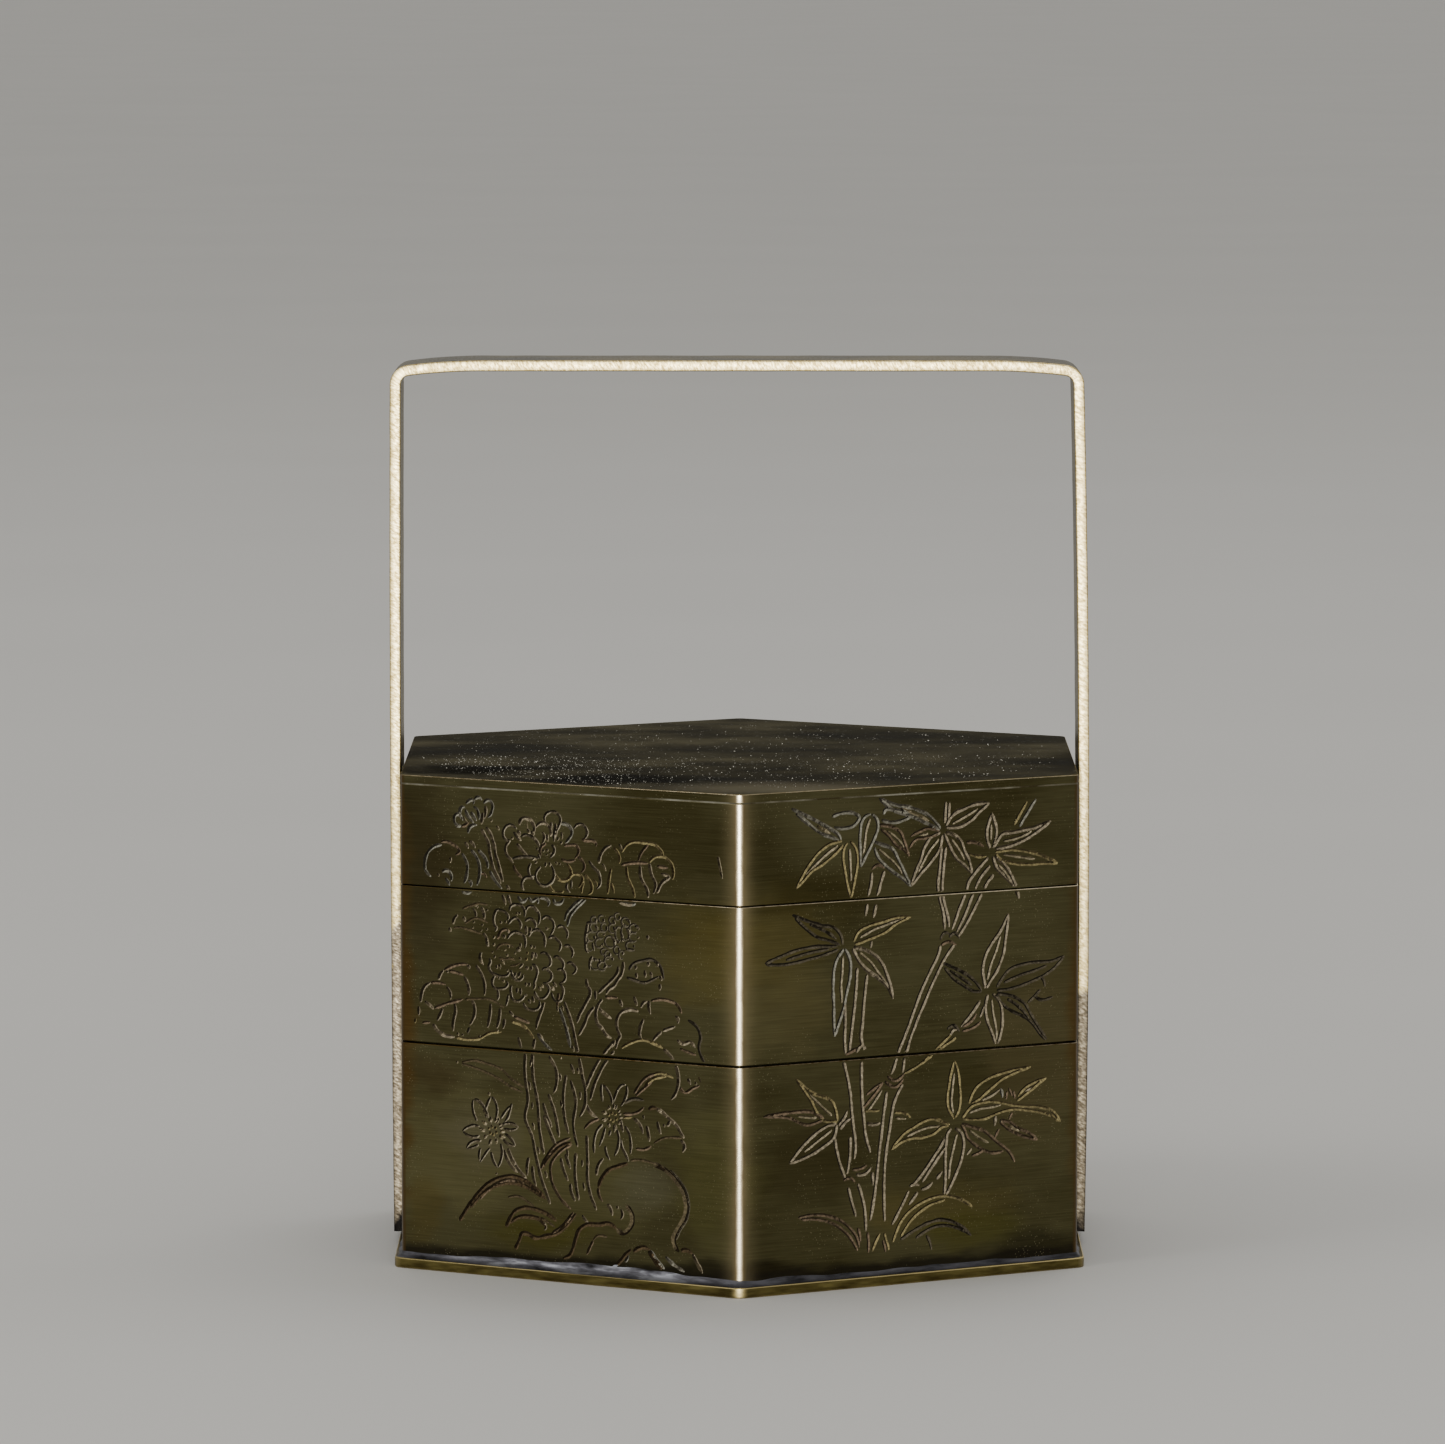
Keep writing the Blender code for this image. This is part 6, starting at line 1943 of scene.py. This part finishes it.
def makeHandle():
    line, section = handleLine(), stripSection()
    along = np.gradient(line, axis=0)
    along /= np.linalg.norm(along, axis=1)[:, None]
    outwards = np.stack((-along[:, 1], along[:, 0]), axis=1)
    run = np.concatenate(([0], np.cumsum(np.linalg.norm(np.diff(line, axis=0), axis=1))))
    lengthways, crossways = handle["waves"]
    points, lengths, flats, faces = [], [], [], []
    for (x, z), (nx, nz), far in zip(line, outwards, run):
        for y, n, flat in section:
            wave = noise.noise(Vector((far * lengthways, y * crossways, 5.0 * (n > 0))))
            reach = n + handle["uneven"] * wave * (1 if n > 0 else -1)
            points.append((x + nx * reach, y, z + nz * reach))
            lengths.append(far)
            flats.append(flat)
    count = len(section)
    last = (len(line) - 1) * count
    for low in range(0, last, count):
        faces += bridge(low, low + count, count)
    faces.append(tuple(range(count)))
    faces.append(tuple(range(last, last + count))[::-1])
    strip = makeMesh("handleStrip", points, faces, [stripMetal])
    for name, values in (("along", lengths), ("flat", flats)):
        layer = strip.data.attributes.new(name, "FLOAT", "POINT")
        layer.data.foreach_set("value", np.array(values, np.float32))
    tidyMesh(strip, 40)
    dress(strip, "handle")


makeHandle()
print("handle")


# Solder, in beads along the joints. Sizes in mm.

footBead = {
    "lump": 0.22,  # share by which it swells and shrinks
    "lumpLength": 2.6,
    "station": 0.5,
    "thick": (-13.5, 12.0, 0.95),  # thicker about this x on the front, over how many mm, by what share
    # its section: inset from the wall's face, and rise from the base plate
    "profile": (
        (0.30, 0.0), (-0.40, 0.0), (-0.20, 0.12), (-0.07, 0.28), (-0.015, 0.44), (0.06, 0.58), (0.30, 0.58)
    ),
}
uprightBead = {
    "tops": {-1: 30.0, 1: 25.5},  # how high the handle is soldered on each side
    "station": 0.5,
    "lump": 1.2,  # how much it swells and shrinks, and over what length
    "lumpLength": 1.7,
    "thinTop": (0.15, 1.2),  # the share left at its top, and how fast it grows from there
    "thickFoot": (0.7, 0.8),  # by what share it is thicker at its foot, and how high that reaches
    "behind": 1.5,  # how far it reaches in behind the strip
    "bulge": (0.32, 0.12, 0.02),  # how far it stands out: at the wall, beside it and at the strip
    "sunk": (0.05, 0.06, 0.02),  # how far solder goes into the wall, the strip and the base plate
}
footLump = {
    "stations": 24,
    "reach": (0.62, 0.60),  # from the wall, below and above
    "rise": 0.30,
    "climb": 0.2,  # how much higher it is at the wall
    "lump": 0.8,
    "lumpLength": 1.3,
}


def makeFootSolder():
    # a fillet all round between the base plate and the bottom tray
    plateTop = rimsOf("base_plate")[1]
    outline = np.array(ringAt(0, 0, 0)[0])[:, :2]
    fine = []
    for index, start in enumerate(outline):
        end = outline[(index + 1) % len(outline)]
        count = max(1, int(np.linalg.norm(end - start) / footBead["station"]))
        fine += [start + (end - start) * step / count for step in range(count)]
    fine = np.array(fine)
    along = np.roll(fine, -1, axis=0) - np.roll(fine, 1, axis=0)
    along /= np.linalg.norm(along, axis=1)[:, None]
    middle, reach, more = footBead["thick"]
    points, faces = [], []
    for spot, run in zip(fine, along):
        swell = 1 + 2 * footBead["lump"] * noise.noise(Vector((*spot, 0)) / footBead["lumpLength"])
        swell += more * math.exp(-((spot[0] - middle) / reach) ** 2) * (spot[1] < 0)
        for inset, rise in footBead["profile"]:
            out = -inset * (swell if inset < 0 else 1)
            points.append((spot[0] + run[1] * out, spot[1] - run[0] * out, plateTop + rise * swell))
    count = len(footBead["profile"])
    for low in range(0, len(points), count):
        faces += bridge(low, (low + count) % len(points), count)
    bead = makeMesh("footSolder", points, faces, [solder])
    tidyMesh(bead, 60)
    dress(bead, None)


def uprightRings(side, edge, top):
    # sections of the fillet in the gap behind one edge of an upright
    wall = apothem - uprightBead["sunk"][0]
    strip = apothem + handle["gap"] + uprightBead["sunk"][1]
    low = rimsOf("base_plate")[1] - uprightBead["sunk"][2]
    out, behind = handle["width"] / 2, handle["width"] / 2 - uprightBead["behind"]
    (least, growth), (more, height) = uprightBead["thinTop"], uprightBead["thickFoot"]
    atWall, beside, atStrip = uprightBead["bulge"]
    count = int((top - low) / uprightBead["station"])
    rings = []
    for station in range(count + 1):
        z = low + (top - low) * station / count
        lump = noise.noise(Vector((side * 3.1, edge * 2.3, z / uprightBead["lumpLength"])))
        taper = min(1, least + growth * (1 - station / count) ** 0.5)
        swell = (1 + uprightBead["lump"] * lump) * (taper * (1 + more * math.exp(-(z - low) / height)))
        ring = ((wall, behind), (wall, out + atWall * swell), (wall + 0.14, out + beside * swell))
        ring += ((strip - 0.10, out + atStrip * swell), (strip, out - 0.10), (strip, behind))
        rings.append([(side * x, edge * y, z) for x, y in ring])
    return rings


def lumpRings(side):
    # sections of the lump below the strip, from its back edge to its front edge
    wall = apothem - uprightBead["sunk"][0]
    low = rimsOf("base_plate")[1] - uprightBead["sunk"][2]
    half = handle["width"] / 2 - 0.1
    below, above = footLump["reach"]
    rings = []
    for station in range(footLump["stations"] + 1):
        y = -half + 2 * half * station / footLump["stations"]
        lump = noise.noise(Vector((side * 5.1, y / footLump["lumpLength"], 2.0)))
        rise = low + footLump["rise"] * (1 + footLump["lump"] * lump)
        ring = ((wall, low), (wall + below, low), (wall + above, rise), (wall, rise + footLump["climb"]))
        rings.append([(side * x, y, z) for x, z in ring])
    return rings


def makeHandleSolder():
    points, faces = [], []
    for side, top in uprightBead["tops"].items():
        for rings in (uprightRings(side, -1, top), uprightRings(side, 1, top), lumpRings(side)):
            count = len(rings[0])
            first, last = len(points), len(points) + (len(rings) - 1) * count
            points += [point for ring in rings for point in ring]
            for low in range(first, last, count):
                faces += bridge(low, low + count, count)
            faces += [tuple(range(first, first + count)), tuple(range(last, last + count))]
    bead = makeMesh("handleSolder", points, faces, [solder])
    tidyMesh(bead, 60)
    dress(bead, None)


def makeLidSolder():
    # the thin line of solder between the lid's walls and its top
    low = rimsOf("lid_walls")[1] + body["lidRise"][0] - 0.04
    high = rimsOf("lid_top")[0] + body["lidRise"][1] + 0.03
    profile = [(0.6, low, 0), (0.02, low, 0), (0.005, (low + high) / 2, 0), (0.02, high, 0), (0.6, high, 0)]
    points, wornAndHighlight, faces = sweep(profile, True)
    bead = makeMesh("lidSolder", points, faces, [seamSolder], wornAndHighlight=wornAndHighlight)
    tidyMesh(bead, 60)
    dress(bead, None)


makeFootSolder()
makeHandleSolder()
makeLidSolder()
print("solder")
